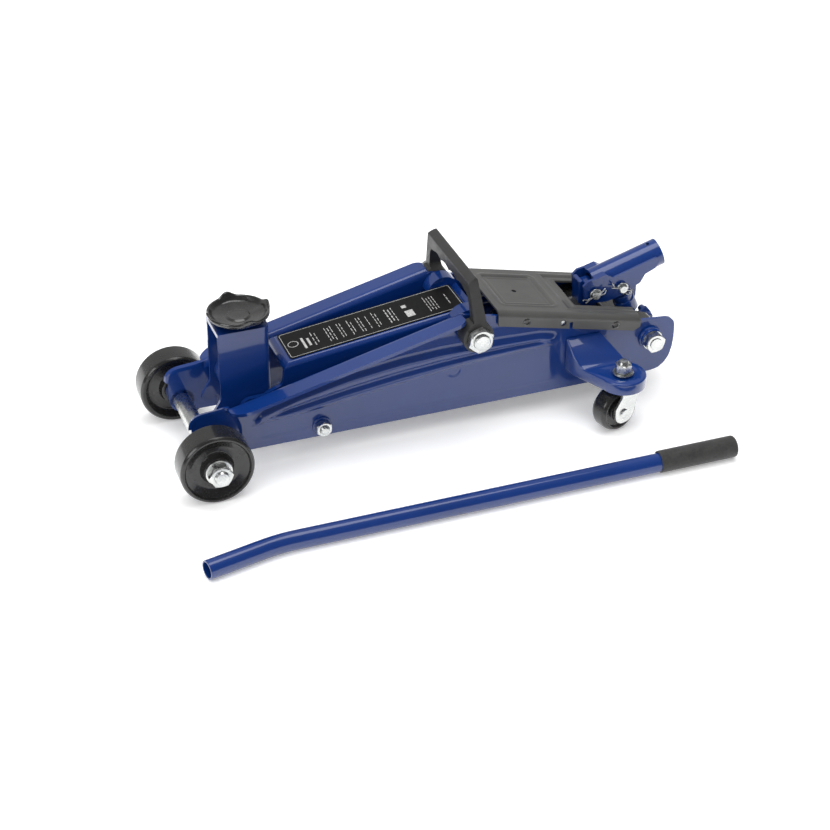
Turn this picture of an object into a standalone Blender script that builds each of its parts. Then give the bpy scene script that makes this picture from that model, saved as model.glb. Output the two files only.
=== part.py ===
"""A low two-tonne hydraulic trolley jack with its loose pump lever lying beside it.

Dimensions are in millimetres and become metres in piece(). Jack coordinates have x = 0 at the front
axle with +X towards the handle socket, y = 0 on the middle plane and z = 0 on the floor.
"""

import math

import bmesh
import bpy
from mathutils import Matrix, Vector

MM = 0.001
GAP = 0.3

# The set stands with the middle of its bounding box at the world origin.
SET_MIDDLE = (193.0, -39.5)

# Frame
WEB_IN, WEB_OUT = 37.0, 40.0
FLANGE_OUT = 57.0
FLANGE_Z0, FLANGE_SLOPE = 58.7, 0.2456
FLANGE_START, FLANGE_END = 19.0, 223.0
SHEET = 3.0
AXLE = (0.0, 31.0)
PIVOT = (231.0, 97.0)
TIE = (99.0, 30.5)
REAR_BOLT = (398.0, 54.0)
COVER_Z0, COVER_SLOPE = 166.6, -0.2336
COVER_X = (254.0, 387.0)
COVER_HALF, COVER_T = 41.9, 1.6
COVER_SCREW_X = (280.0, 363.0)
SLOT_X, SLOT_HALF = 333.0, 23.0

# Wheels and casters
WHEEL_R, WHEEL_Y = 31.0, (53.6, 77.8)
AXLE_R, AXLE_BAR_R, BORE_R = 6.0, 7.5, 6.3
CASTER = (354.0, 80.0)
CASTER_TRAIL, CASTER_R, CASTER_HALF = 8.0, 19.0, 8.5
CASTER_SWIVEL = math.radians(17)
SHELF_Z, SHELF_TIP_R = 50.0, 20.0

# Lift arm, saddle bracket and links
ARM_TOP_Z0, ARM_TOP_SLOPE = 75.8, 0.129
SHAFT_R, SHAFT_BORE = 7.0, 7.3
ARM_OUT, ARM_IN = 24.0, 20.0
FRONT_PIN = (45.0, 48.0)
LINK_OFFSET = (-5.0, -17.3)
LINK_Y = (30.0, 34.0)
CROSSHEAD = (252.5, 59.8)
COLUMN_X, COLUMN_TOP, COLUMN_HALF = (20.4, 64.0), 120.0, 18.0
SADDLE_X, SADDLE_Z = 43.0, 121.0
SCREW_R = 9.0

# Hydraulics and handle socket
RAM_Z, RAM_R, CYLINDER_R = 57.0, 11.0, 25.0
CYLINDER_X = (269.0, 345.0)
SOCKET = (355.9, 91.3)
CHEEK_IN, CHEEK_OUT = 10.4, 13.0
LUG_HALF = 7.0
PLUNGER_PIN = (381.1, 92.6)
PLUNGER_TOP = Vector((PLUNGER_PIN[0], 0.0, PLUNGER_PIN[1]))
PUMP_DOWN = Vector((0.41, 0.0, -0.912)).normalized()
PUMP_REACH, PUMP_HEIGHT = 31.7, 19.0
MOUTH = Vector((421.0, 0.0, 113.8))
TUBE_IN = Vector((-0.956, 0.0, -0.292)).normalized()
TUBE_R, TUBE_BORE, TUBE_LENGTH = 12.0, 9.6, 66.0
VALVE = Vector((402.0, 0.0, 47.0))
VALVE_OUT = Vector((0.82, 0.0, 0.572)).normalized()

# Carry handle
FOOT_R, FOOT_IN, FOOT_OUT = 13.5, 42.8, 58.2
LEAN_START, KNUCKLE_HALF = 106.0, 46.5
BAR_FRONT, BAR_REAR, BAR_UNDER = (225.4, 143.6), (233.0, 148.6), 132.0

# Pump lever on the floor
LEVER_R, LEVER_BORE, GRIP_R = 8.0, 6.5, 9.3
LEVER_TIP, LEVER_BEND, LEVER_END = (-36.7, -171.1), (26.0, -156.8), (422.0, -158.6)
GRIP_LENGTH = 70.0
BEND_EASE = 14.0

COLOURS = {
    "blue_paint": ((0.012, 0.035, 0.20), 0.22, 0.0),
    "black_paint": ((0.012, 0.012, 0.012), 0.30, 0.0),
    "black_plastic": ((0.015, 0.015, 0.016), 0.38, 0.0),
    "rubber": ((0.02, 0.02, 0.02), 0.75, 0.0),
    "zinc": ((0.72, 0.72, 0.70), 0.25, 1.0),
    "steel": ((0.45, 0.45, 0.46), 0.30, 1.0),
    "cast_iron": ((0.05, 0.05, 0.055), 0.50, 0.6),
    "label_black": ((0.01, 0.01, 0.01), 0.35, 0.0),
}

BODIES = {}


# ---- scene helpers ---------------------------------------------------------------------------


def clear_scene():
    for obj in list(bpy.data.objects):
        bpy.data.objects.remove(obj, do_unlink=True)


def material(kind):
    if kind in bpy.data.materials:
        return bpy.data.materials[kind]
    colour, roughness, metallic = COLOURS[kind]
    made = bpy.data.materials.new(kind)
    made.use_nodes = True
    shader = made.node_tree.nodes["Principled BSDF"]
    shader.inputs["Base Color"].default_value = (*colour, 1.0)
    shader.inputs["Roughness"].default_value = roughness
    shader.inputs["Metallic"].default_value = metallic
    made.diffuse_color = (*colour, 1.0)
    return made


def body(name, at, parent=None, turn=0.0):
    """An empty on a joint's axis, at a point in jack coordinates."""
    empty = bpy.data.objects.new(f"{name}_body", None)
    empty.empty_display_size = 0.01
    bpy.context.scene.collection.objects.link(empty)
    at = Vector(at)
    base = Vector((*SET_MIDDLE, 0.0))
    if parent:
        empty.parent = BODIES[parent][0]
        base = BODIES[parent][1]
    empty.location = (at - base) * MM
    empty.rotation_euler.z = turn
    BODIES[name] = (empty, at)


def place(name, mesh, home):
    """An object in a body's frame, from a bmesh in jack coordinates."""
    empty, at = BODIES[home]
    bmesh.ops.translate(mesh, verts=mesh.verts, vec=-at)
    bmesh.ops.scale(mesh, verts=mesh.verts, vec=(MM, MM, MM))
    bmesh.ops.recalc_face_normals(mesh, faces=mesh.faces)
    data = bpy.data.meshes.new(name)
    mesh.to_mesh(data)
    mesh.free()
    obj = bpy.data.objects.new(name, data)
    bpy.context.scene.collection.objects.link(obj)
    obj.parent = empty
    return obj


def combine(obj, home, steps):
    """Boolean steps of (operation, other solid). The other solids stay as hidden helpers."""
    for number, (operation, other) in enumerate(steps):
        if isinstance(other, bmesh.types.BMesh):
            other = place(f"{obj.name}_helper_{number}", other, home)
        other.hide_render = True
        other.display_type = "WIRE"
        boolean = obj.modifiers.new(f"{operation.lower()} {number}", "BOOLEAN")
        boolean.operation = operation
        boolean.object = other


def core(name, mesh, home, within):
    """A solid kept inside another, for a piece to be hollowed by."""
    obj = place(name, mesh, home)
    combine(obj, home, [("INTERSECT", within)])
    return obj


def piece(name, mesh, home, kind, join=(), keep=(), cut=(), join_last=(), cut_last=()):
    """A named part: a mesh, joined with some solids, kept inside others and cut by others, in that order."""
    obj = place(name, mesh, home)
    steps = [("UNION", m) for m in join] + [("INTERSECT", m) for m in keep]
    steps += [("DIFFERENCE", m) for m in cut] + [("UNION", m) for m in join_last]
    combine(obj, home, steps + [("DIFFERENCE", m) for m in cut_last])
    obj.data.materials.append(material(kind))
    obj.data.shade_smooth()
    obj.data.set_sharp_from_angle(angle=math.radians(35))
    return obj


# ---- solids, as bmeshes in millimetres ---------------------------------------------------------


def prism(outline, low, high, axis):
    """A flat outline pushed along an axis: (x, z) points along y, or (x, y) points along z."""
    mesh = bmesh.new()
    if axis == "y":
        rings = [[mesh.verts.new((u, w, v)) for u, v in outline] for w in (low, high)]
    elif axis == "z":
        rings = [[mesh.verts.new((u, v, w)) for u, v in outline] for w in (low, high)]
    else:
        rings = [[mesh.verts.new((w, u, v)) for u, v in outline] for w in (low, high)]
    mesh.faces.new(rings[0])
    mesh.faces.new(rings[1])
    for i in range(len(outline)):
        j = (i + 1) % len(outline)
        mesh.faces.new((rings[0][i], rings[0][j], rings[1][j], rings[1][i]))
    return mesh


def box(x0, x1, y0, y1, z0, z1):
    return prism([(x0, y0), (x1, y0), (x1, y1), (x0, y1)], z0, z1, "z")


def rounded(points, steps=3):
    """An outline whose corners (u, v, radius) are turned into arcs."""
    outline = []
    for i, (u, v, radius) in enumerate(points):
        corner = Vector((u, v))
        before = (Vector(points[i - 1][:2]) - corner).normalized()
        after = (Vector(points[(i + 1) % len(points)][:2]) - corner).normalized()
        if radius == 0:
            outline.append((u, v))
            continue
        half = before.angle(after) / 2
        centre = corner + (before + after).normalized() * radius / math.sin(half)
        start = corner + before * radius / math.tan(half) - centre
        end = corner + after * radius / math.tan(half) - centre
        sweep = start.angle_signed(end)
        for step in range(steps + 1):
            turned = Matrix.Rotation(-sweep * step / steps, 2) @ start
            outline.append(tuple(centre + turned))
    return outline


def disc(u, v, radius, sides=20, first=0.0, last=2 * math.pi):
    """Points on an arc, a whole circle by default."""
    whole = last - first > 2 * math.pi - 1e-6
    count = sides if whole else sides + 1
    angles = [first + (last - first) * i / sides for i in range(count)]
    return [(u + radius * math.cos(a), v + radius * math.sin(a)) for a in angles]


def rod(start, end, radius, sides=16, end_radius=None):
    """A cylinder or cone between two points."""
    start, end = Vector(start), Vector(end)
    turn = (end - start).to_track_quat("Z", "Y").to_matrix().to_4x4()
    mesh = bmesh.new()
    bmesh.ops.create_cone(
        mesh,
        cap_ends=True,
        segments=sides,
        radius1=radius,
        radius2=radius if end_radius is None else end_radius,
        depth=(end - start).length,
        matrix=Matrix.Translation((start + end) / 2) @ turn,
    )
    return mesh


def across(x, z, y0, y1, radius, sides=16):
    """A cylinder along y."""
    return rod((x, y0, z), (x, y1, z), radius, sides)


def nut(x, z, y0, y1, flats):
    return across(x, z, y0, y1, flats / math.sqrt(3), 6)


def turned(profile, start, direction, sides=24):
    """A closed profile of (radius, distance) points turned about an axis."""
    start, direction = Vector(start), Vector(direction).normalized()
    turn = direction.to_track_quat("Z", "Y").to_matrix()
    mesh = bmesh.new()
    rings = []
    for radius, along in profile:
        ring = []
        for x, y in disc(0.0, 0.0, radius, sides):
            ring.append(mesh.verts.new(start + turn @ Vector((x, y, along))))
        rings.append(ring)
    for a, b in zip(rings, rings[1:] + rings[:1]):
        for i in range(sides):
            j = (i + 1) % sides
            mesh.faces.new((a[i], a[j], b[j], b[i]))
    return mesh


def pipe(route, radius, bore, sides=16):
    """An open tube along a list of points, with mitred bends."""
    mesh = bmesh.new()
    route = [Vector(p) for p in route]
    rings = []
    for i, point in enumerate(route):
        before = (point - route[max(i - 1, 0)]).normalized()
        after = (route[min(i + 1, len(route) - 1)] - point).normalized()
        along = (before + after).normalized()
        side = along.cross(Vector((0, 0, 1))).normalized()
        up = side.cross(along)
        stretch = 1 / math.cos(before.angle(after) / 2) if 0 < i < len(route) - 1 else 1.0
        pair = []
        for size in (radius, bore):
            pair.append(
                [mesh.verts.new(point + side * x * stretch + up * y) for x, y in disc(0, 0, size, sides)]
            )
        rings.append(pair)
    for (a_out, a_in), (b_out, b_in) in zip(rings, rings[1:]):
        for i in range(sides):
            j = (i + 1) % sides
            mesh.faces.new((a_out[i], a_out[j], b_out[j], b_out[i]))
            mesh.faces.new((a_in[i], b_in[i], b_in[j], a_in[j]))
    for outer, inner in (rings[0], rings[-1]):
        for i in range(sides):
            j = (i + 1) % sides
            mesh.faces.new((outer[i], outer[j], inner[j], inner[i]))
    return mesh


def mirrored(mesh, side):
    """The mesh as drawn for +Y, or its mirror image for -Y."""
    if side < 0:
        bmesh.ops.scale(mesh, verts=mesh.verts, vec=(1, -1, 1))
    return mesh


def sheared(mesh, z0, slope):
    """Lifts each point by a height that grows with x."""
    for vert in mesh.verts:
        vert.co.z += z0 + slope * vert.co.x
    return mesh


def cover_z(x):
    return COVER_Z0 + COVER_SLOPE * x


def arm_top(x):
    return ARM_TOP_Z0 + ARM_TOP_SLOPE * x


# ---- frame -------------------------------------------------------------------------------------

SIDES = {"left": -1, "right": 1}


def side_plate(name, side):
    under_cover = 3.4
    web = rounded(
        [
            (2, 20, 6),
            (-11, 30, 5),
            (-11, 52, 4),
            (-4, 60, 5),
            (14, 61.2, 0),
            (22, FLANGE_Z0 + FLANGE_SLOPE * 22 - 1, 0),
            (215, FLANGE_Z0 + FLANGE_SLOPE * 215 - 1, 6),
            (234, 108, 8),
            (252, cover_z(252) - under_cover, 6),
            (386, cover_z(386) - under_cover, 6),
            (412, 71, 3),
            (421, 66, 5),
            (420, 40, 14),
            (406, 20, 14),
        ]
    )
    flange = rounded(
        [
            (FLANGE_START, 38.5, 0),
            (FLANGE_START, FLANGE_OUT, 12),
            (FLANGE_END, FLANGE_OUT, 8),
            (FLANGE_END, 38.5, 0),
        ]
    )
    rib = rounded(
        [
            (42, 44, 4),
            (50, 55, 8),
            (124, 73, 40),
            (204, 81, 60),
            (296, 78.5, 8),
            (309, 70, 3),
            (306, 65.5, 3),
            (231, 63.5, 60),
            (124, 51, 60),
            (60, 44.5, 20),
        ],
        3,
    )
    low_rib = rounded([(50, 29, 3), (50, 35, 3), (120, 40, 20), (300, 47, 6), (306, 29, 6)], 3)
    bent_top = sheared(prism(flange, -SHEET, 0, "z"), FLANGE_Z0, FLANGE_SLOPE)
    link_x, link_z = PIVOT[0] + LINK_OFFSET[0], PIVOT[1] + LINK_OFFSET[1]
    joins = [
        bent_top,
        across(*AXLE, WEB_OUT - 1, WHEEL_Y[0] - GAP, 10.5),
        prism(rib, WEB_OUT - 1, WEB_OUT + 1.6, "y"),
        prism(low_rib, WEB_OUT - 1, WEB_OUT + 0.8, "y"),
        across(*TIE, WEB_OUT - 1, WEB_OUT + 2.0, 8.5),
        across(*REAR_BOLT, WEB_OUT - 1, WEB_OUT + 5.0, 11.0),
        across(link_x, link_z, 29.0, WEB_IN + 1, 4.0, 16),
    ]
    cuts = [
        across(*AXLE, 30, 60, BORE_R),
        across(*TIE, 30, 60, 4.3),
        across(*REAR_BOLT, 30, 60, 5.3),
        across(*PIVOT, 30, 60, SHAFT_BORE, 24),
    ]
    cuts += [across(x, cover_z(x) - 7.0, 30, 60, 2.3, 12) for x in COVER_SCREW_X]
    piece(
        f"side_plate_{name}",
        mirrored(prism(web, WEB_IN, WEB_OUT, "y"), side),
        "chassis",
        "blue_paint",
        join=[mirrored(m, side) for m in joins],
        cut=[mirrored(m, side) for m in cuts],
    )


def caster_bracket(name, side):
    """A pressed cap: a gusset sloping off the side plate, a round shelf and a skirt."""
    root, low = WEB_OUT + GAP, 37.0
    centre_x, centre_y = CASTER

    def plan(inset):
        tip = disc(centre_x, centre_y, SHELF_TIP_R - inset, 14, -0.55, math.pi * 0.94)
        return [(318 + inset, root), (350 - inset, root)] + tip + [(320 + inset, 54)]

    def section(drop):
        return [(root - 1, 70 - drop), (62, SHELF_Z - drop), (104, SHELF_Z - drop), (104, 20), (root - 1, 20)]

    wall, reach = 2.6, (300, 400)
    inner = mirrored(prism(plan(wall), low - 5, 81, "z"), side)
    within = mirrored(prism(section(wall), *reach, "x"), side)
    piece(
        f"caster_bracket_{name}",
        mirrored(prism(plan(0), low, 80, "z"), side),
        "chassis",
        "blue_paint",
        keep=[mirrored(prism(section(0), *reach, "x"), side)],
        cut=[
            mirrored(rod((centre_x, centre_y, 30), (centre_x, centre_y, 60), 5.3, 16), side),
            core(f"{name}_bracket_core", inner, "chassis", within),
        ],
    )


def frame():
    for name, side in SIDES.items():
        side_plate(name, side)
        caster_bracket(name, side)
        face = WHEEL_Y[1] + GAP
        piece(f"axle_washer_{name}", mirrored(ring(AXLE, face, face + 2, 11.3, BORE_R), side), "chassis", "zinc")
        piece(
            f"axle_nut_{name}",
            mirrored(nut(*AXLE, face + 2.3, face + 9.5, 18.0), side),
            "chassis",
            "zinc",
            cut=[mirrored(across(*AXLE, 70, 99, BORE_R), side)],
        )
        piece(
            f"tie_nut_{name}",
            mirrored(nut(*TIE, WEB_OUT + 2.3, WEB_OUT + 8.3, 12.5), side),
            "chassis",
            "zinc",
            cut=[mirrored(across(*TIE, 30, 60, 4.3), side)],
        )
        piece(
            f"pivot_nut_{name}",
            mirrored(nut(*PIVOT, 58.6, 65.0, 20.0), side),
            "chassis",
            "zinc",
            cut=[mirrored(across(*PIVOT, 50, 80, SHAFT_BORE, 24), side)],
        )
        face = WEB_OUT + 5.0 + GAP
        piece(
            f"rear_bolt_{name}",
            mirrored(nut(*REAR_BOLT, face, face + 8.0, 18.0), side),
            "chassis",
            "zinc",
            join=[mirrored(across(*REAR_BOLT, 26.5, face + 1, 5.0), side)],
        )
    bar = [(AXLE_R, -90), (AXLE_R, -36.5), (AXLE_BAR_R, -36.5), (AXLE_BAR_R, 36.5), (AXLE_R, 36.5), (AXLE_R, 90)]
    piece("front_axle", solid_turned(bar, (AXLE[0], 0, AXLE[1]), (0, 1, 0)), "chassis", "zinc")
    piece("tie_bolt", across(*TIE, -51, 51, 4.0, 16), "chassis", "zinc")
    piece("pivot_shaft", across(*PIVOT, -67.5, 67.5, SHAFT_R, 24), "chassis", "steel")


def ring(centre, y0, y1, radius, bore):
    return turned([(radius, y0), (radius, y1), (bore, y1), (bore, y0)], (centre[0], 0, centre[1]), (0, 1, 0), 24)


def solid_turned(profile, start, direction, sides=24):
    """A turned piece that reaches its own axis, closed by flat ends."""
    start, direction = Vector(start), Vector(direction).normalized()
    turn = direction.to_track_quat("Z", "Y").to_matrix()
    mesh = bmesh.new()
    rings = []
    for radius, along in profile:
        rings.append([mesh.verts.new(start + turn @ Vector((x, y, along))) for x, y in disc(0, 0, radius, sides)])
    for a, b in zip(rings, rings[1:]):
        for i in range(sides):
            j = (i + 1) % sides
            mesh.faces.new((a[i], a[j], b[j], b[i]))
    mesh.faces.new(rings[0])
    mesh.faces.new(rings[-1])
    return mesh


def cover():
    """The sloping top cover: a folded sheet with a slot for the pump and two side flanges."""
    x0, x1 = COVER_X
    half, drop = COVER_HALF, 12.0
    outer = sheared(box(x0, x1, -half, half, -drop, 0), COVER_Z0, COVER_SLOPE)
    inner_half = half - COVER_T
    inner = sheared(
        box(x0 - 5, x1 + 5, -inner_half, inner_half, -drop - 5, -COVER_T), COVER_Z0, COVER_SLOPE
    )
    slot = sheared(box(SLOT_X, x1 + 5, -SLOT_HALF, SLOT_HALF, -20, 10), COVER_Z0, COVER_SLOPE)
    panel = rounded([(262, -26, 4), (312, -26, 4), (312, 26, 4), (262, 26, 4)])
    groove = sheared(prism(panel, -0.5, 5, "z"), COVER_Z0, COVER_SLOPE)
    hole = rod((286, 0, 80), (286, 0, 120), 2.5, 12)
    cuts = [inner, slot, groove, hole]
    cuts += [across(x, cover_z(x) - 7.0, -60, 60, 2.3, 12) for x in COVER_SCREW_X]
    cuts += [across(317, cover_z(317) - 6.0, -60, 60, 2.6, 12)]
    piece("cover", outer, "chassis", "black_paint", cut=cuts)
    number = 1
    for side in SIDES.values():
        for x in COVER_SCREW_X:
            z = cover_z(x) - 7.0
            piece(
                f"cover_screw_{number}",
                mirrored(across(x, z, half + GAP, half + 1.9, 3.8, 16), side),
                "chassis",
                "black_paint",
                join=[mirrored(across(x, z, WEB_IN - 0.1, half + 1, 2.0, 12), side)],
            )
            number += 1


def hydraulics():
    x0, x1 = CYLINDER_X
    piece(
        "ram_cylinder",
        rod((x0, 0, RAM_Z), (x1, 0, RAM_Z), CYLINDER_R, 28),
        "chassis",
        "cast_iron",
        cut=[rod((x0 - 5, 0, RAM_Z), (x0 + 66, 0, RAM_Z), RAM_R + 0.4, 24)],
    )
    base = rounded(
        [
            (x1 + GAP, 25, 3),
            (x1 + GAP, 76, 3),
            (366, 76, 3),
            (372, 62, 3),
            (409, 62, 4),
            (409, 36, 4),
            (400, 25, 3),
        ]
    )
    lug = [(x1 + GAP, 70), (x1 + GAP, 83), (343.8, 84), (343.8, 101.5), (347, 102), (350, 98)]
    lug += disc(*SOCKET, 7.5, 8, math.radians(110), 0.0) + [(361, 70)]
    top = PLUNGER_TOP + PUMP_DOWN * (PUMP_REACH + 0.2)
    piece(
        "pump_block",
        prism(base, -36.5, 36.5, "y"),
        "chassis",
        "cast_iron",
        join=[prism(lug, -LUG_HALF, LUG_HALF, "y")],
        cut=[
            rod(top, top - PUMP_DOWN * 40, 10.2, 24),
            across(*SOCKET, -20, 20, 4.3, 16),
            across(*REAR_BOLT, 26, 40, 5.3),
            across(*REAR_BOLT, -40, -26, 5.3),
            rod(VALVE - VALVE_OUT * 12, VALVE + VALVE_OUT * 30, 5.3, 20),
            rod(VALVE + VALVE_OUT * 2.0, VALVE + VALVE_OUT * 40, 15.0, 20),
        ],
    )
    foot = PLUNGER_TOP + PUMP_DOWN * PUMP_REACH
    piece(
        "pump_cylinder",
        turned([(9.8, 0), (9.8, PUMP_HEIGHT), (5.4, PUMP_HEIGHT), (5.4, 0)], foot, -PUMP_DOWN, 24),
        "chassis",
        "blue_paint",
    )


# ---- lifting gear ------------------------------------------------------------------------------


def lift_arm():
    px, pz = PIVOT
    fx, fz = FRONT_PIN
    cx, cz = CROSSHEAD
    side = disc(fx, fz, 11.0, 12, math.radians(105), math.radians(285))
    side += [(92, 47.5), (190, 62), (214, 66)]
    side += disc(cx, cz, 11.0, 10, math.radians(200), math.radians(370))
    side += disc(px, pz, 13.5, 6, math.radians(-10), math.radians(40))
    side += [(237, arm_top(237)), (79, arm_top(79)), (73.5, arm_top(73) - 4), (71.5, 74), (60, 64)]
    pocket = [(20, 20), (20, 75), (66, 75), (77, arm_top(77) - 4.5), (205, arm_top(205) - 4)]
    pocket += [(210, 87), (280, 87), (280, 20)]
    hubs = []
    for edge in SIDES.values():
        hub = across(px, pz, edge * 23, edge * 36.2, 15.0, 28)
        whole = hub.verts[:] + hub.edges[:] + hub.faces[:]
        cut = bmesh.ops.bisect_plane(
            hub, geom=whole, plane_co=(px, 0, pz + 2), plane_no=(0, 0, -1), clear_outer=True
        )
        bmesh.ops.contextual_create(hub, geom=[g for g in cut["geom_cut"] if isinstance(g, bmesh.types.BMEdge)])
        hubs.append(hub)
    piece(
        "lift_arm",
        prism(side, -ARM_OUT, ARM_OUT, "y"),
        "lift_arm",
        "blue_paint",
        join=[*hubs, across(px, pz, -28.0, 28.0, 8.55, 24)],
        cut=[
            prism(pocket, -ARM_IN, ARM_IN, "y"),
            across(px, pz, -50, 50, SHAFT_BORE, 24),
            across(fx, fz, -50, 50, 6.3, 20),
            across(cx, cz, -50, 50, 6.3, 20),
        ],
    )
    piece("crosshead_pin", across(cx, cz, -26, 26, 6.0, 20), "lift_arm", "steel")
    piece("front_pin", across(fx, fz, -27, 27, 6.0, 20), "lift_arm", "zinc")
    plate = rounded([(80, -20.2, 3), (234, -20.2, 3), (234, 20.2, 3), (80, 20.2, 3)])
    piece(
        "arm_label",
        sheared(prism(plate, GAP, 0.8, "z"), ARM_TOP_Z0, ARM_TOP_SLOPE),
        "lift_arm",
        "label_black",
    )


def saddle_bracket():
    """A folded U open to the front: back web, two cheeks and a top plate with a welded nut."""
    x0, x1 = COLUMN_X
    fx, fz = FRONT_PIN
    lx, lz = fx + LINK_OFFSET[0], fz + LINK_OFFSET[1]
    half = COLUMN_HALF
    cheek = [(x0, COLUMN_TOP), (x0, 60), (13, 47), (12, 41), (26, 36)]
    cheek += disc(lx, lz, 9.0, 10, math.radians(200), math.radians(350))
    cheek += disc(fx, fz, 12.0, 6, math.radians(-60), math.radians(-10))
    cheek += [(x1, 62), (x1, COLUMN_TOP)]
    hollow = box(x0 - 20, x1 - SHEET, -half + SHEET, half - SHEET, 10, COLUMN_TOP - 4)
    piece(
        "saddle_bracket",
        prism(cheek, -half, half, "y"),
        "saddle_bracket",
        "blue_paint",
        cut=[
            hollow,
            across(fx, fz, -30, 30, 6.3, 20),
            across(lx, lz, -30, 30, 4.3, 16),
            rod((SADDLE_X, 0, 100), (SADDLE_X, 0, 130), SCREW_R + 0.4, 24),
        ],
    )
    piece(
        "saddle_nut",
        turned([(13.5, 0), (13.5, 6.5), (SCREW_R + 0.4, 6.5), (SCREW_R + 0.4, 0)], (SADDLE_X, 0, 109.2), (0, 0, 1), 24),
        "saddle_bracket",
        "steel",
    )
    piece("link_pin_front", across(lx, lz, -35.8, 35.8, 4.0, 16), "saddle_bracket", "zinc")


def links():
    rear = (PIVOT[0] + LINK_OFFSET[0], PIVOT[1] + LINK_OFFSET[1])
    front = (FRONT_PIN[0] + LINK_OFFSET[0], FRONT_PIN[1] + LINK_OFFSET[1])
    slope = math.atan2(rear[1] - front[1], rear[0] - front[0])
    outline = disc(*rear, 7.5, 10, slope - math.pi / 2, slope + math.pi / 2)
    outline += disc(*front, 7.5, 10, slope + math.pi / 2, slope + 1.5 * math.pi)
    for name, side in SIDES.items():
        piece(
            f"link_{name}",
            mirrored(prism(outline, *LINK_Y, "y"), side),
            "links",
            "blue_paint",
            cut=[mirrored(across(*rear, 20, 36.9, 4.3, 16), side), mirrored(across(*front, 20, 36.9, 4.3, 16), side)],
        )


def saddle():
    """A cast cup with four lugs on a thread, and the ring that stops the thread in its nut."""
    z = SADDLE_Z
    cup = [(12, 0), (20, 2.5), (25.5, 7), (27.5, 11.5), (25.0, 12.0)]
    bowl = solid_turned(cup, (SADDLE_X, 0, z), (0, 0, 1), 24)
    lugs = []
    for i in range(4):
        angle = math.radians(45 + 90 * i)
        out = Vector((math.cos(angle), math.sin(angle), 0))
        root = Vector((SADDLE_X, 0, z)) + out * 24.0
        lugs.append(rod(root + Vector((0, 0, 6)), root + out * 1.0 + Vector((0, 0, 14)), 5.0, 12, 2.8))
    hollow = solid_turned([(9.0, 6.0), (20.5, 8.6), (24.0, 12.5), (24.0, 30)], (SADDLE_X, 0, z), (0, 0, 1), 24)
    seat = rod((SADDLE_X, 0, z - 1), (SADDLE_X, 0, z + 3.3), SCREW_R + GAP, 24)
    piece("saddle", bowl, "saddle", "cast_iron", join=lugs, cut=[hollow, seat])
    piece("saddle_screw", rod((SADDLE_X, 0, 57.5), (SADDLE_X, 0, z + 3), SCREW_R, 24), "saddle", "steel")
    stop = [(12.5, 0), (12.5, 3.5), (SCREW_R + 0.4, 3.5), (SCREW_R + 0.4, 0)]
    piece("saddle_stop_ring", turned(stop, (SADDLE_X, 0, 58), (0, 0, 1), 24), "saddle_rise", "steel")


def ram():
    x0 = CYLINDER_X[0]
    piece(
        "ram",
        rod((259.3, 0, RAM_Z), (x0 - 1.5, 0, RAM_Z), 16.0, 24),
        "ram",
        "steel",
        join=[rod((x0 - 3, 0, RAM_Z), (x0 + 62, 0, RAM_Z), RAM_R, 24)],
    )


# ---- wheels ------------------------------------------------------------------------------------


def front_wheels():
    inner, outer = WHEEL_Y
    profile = [
        (BORE_R, inner),
        (13, inner),
        (14, inner + 5),
        (24, inner + 7),
        (27, inner + 1),
        (30, inner + 1),
        (WHEEL_R, inner + 3),
        (WHEEL_R, outer - 3),
        (30, outer - 1),
        (26.5, outer - 1),
        (24.5, outer - 7),
        (14.5, outer - 6),
        (13.5, outer),
        (BORE_R, outer),
    ]
    for name, side in SIDES.items():
        mesh = turned(profile, (AXLE[0], 0, AXLE[1]), (0, 1, 0), 28)
        piece(f"front_wheel_{name}", mirrored(mesh, side), f"front_wheel_{name}", "black_plastic")


def casters():
    for name, side in SIDES.items():
        cx, cy = CASTER[0], CASTER[1] * side
        wx, wz = cx - CASTER_TRAIL, CASTER_R
        leg = rounded(
            [(cx - 10, 43, 1), (cx - 10, 36, 4), (wx - 9.5, 24, 4), (wx - 9.5, 9.5, 9), (wx + 9.5, 9.5, 9), (cx + 10, 43, 1)]
        )
        in_y, out_y = 10.2, 12.6
        home = f"caster_{name}"
        crown = rod((cx, cy, 41.0), (cx, cy, 46.4), 13.5, 24)
        joins = [prism(leg, cy + in_y, cy + out_y, "y"), prism(leg, cy - out_y, cy - in_y, "y")]
        joins += [rod((cx, cy, 43), (cx, cy, 62.5), 5.0, 16)]
        joins += [across(wx, wz, cy - out_y - 1.6, cy + out_y + 1.6, 3.9, 16)]
        piece(f"caster_fork_{name}", crown, home, "zinc", join=joins)
        piece(
            f"caster_nut_{name}",
            rod((cx, cy, SHELF_Z + 0.5), (cx, cy, SHELF_Z + 9.5), 8.1, 6),
            home,
            "zinc",
            cut=[rod((cx, cy, 45), (cx, cy, 70), 5.3, 16)],
        )
        profile = [
            (4.3, -9.2),
            (8, -9.2),
            (8.5, -6.5),
            (14.5, -6.5),
            (15.5, -CASTER_HALF),
            (17.5, -CASTER_HALF),
            (CASTER_R, -6),
            (CASTER_R, 6),
            (17.5, CASTER_HALF),
            (15.5, CASTER_HALF),
            (14.5, 6.5),
            (8.5, 6.5),
            (8, 9.2),
            (4.3, 9.2),
        ]
        mesh = turned(profile, (wx, cy, wz), (0, 1, 0), 22)
        piece(f"caster_wheel_{name}", mesh, f"caster_wheel_{name}", "black_plastic")


# ---- handle socket, pump and release valve -------------------------------------------------------


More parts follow.
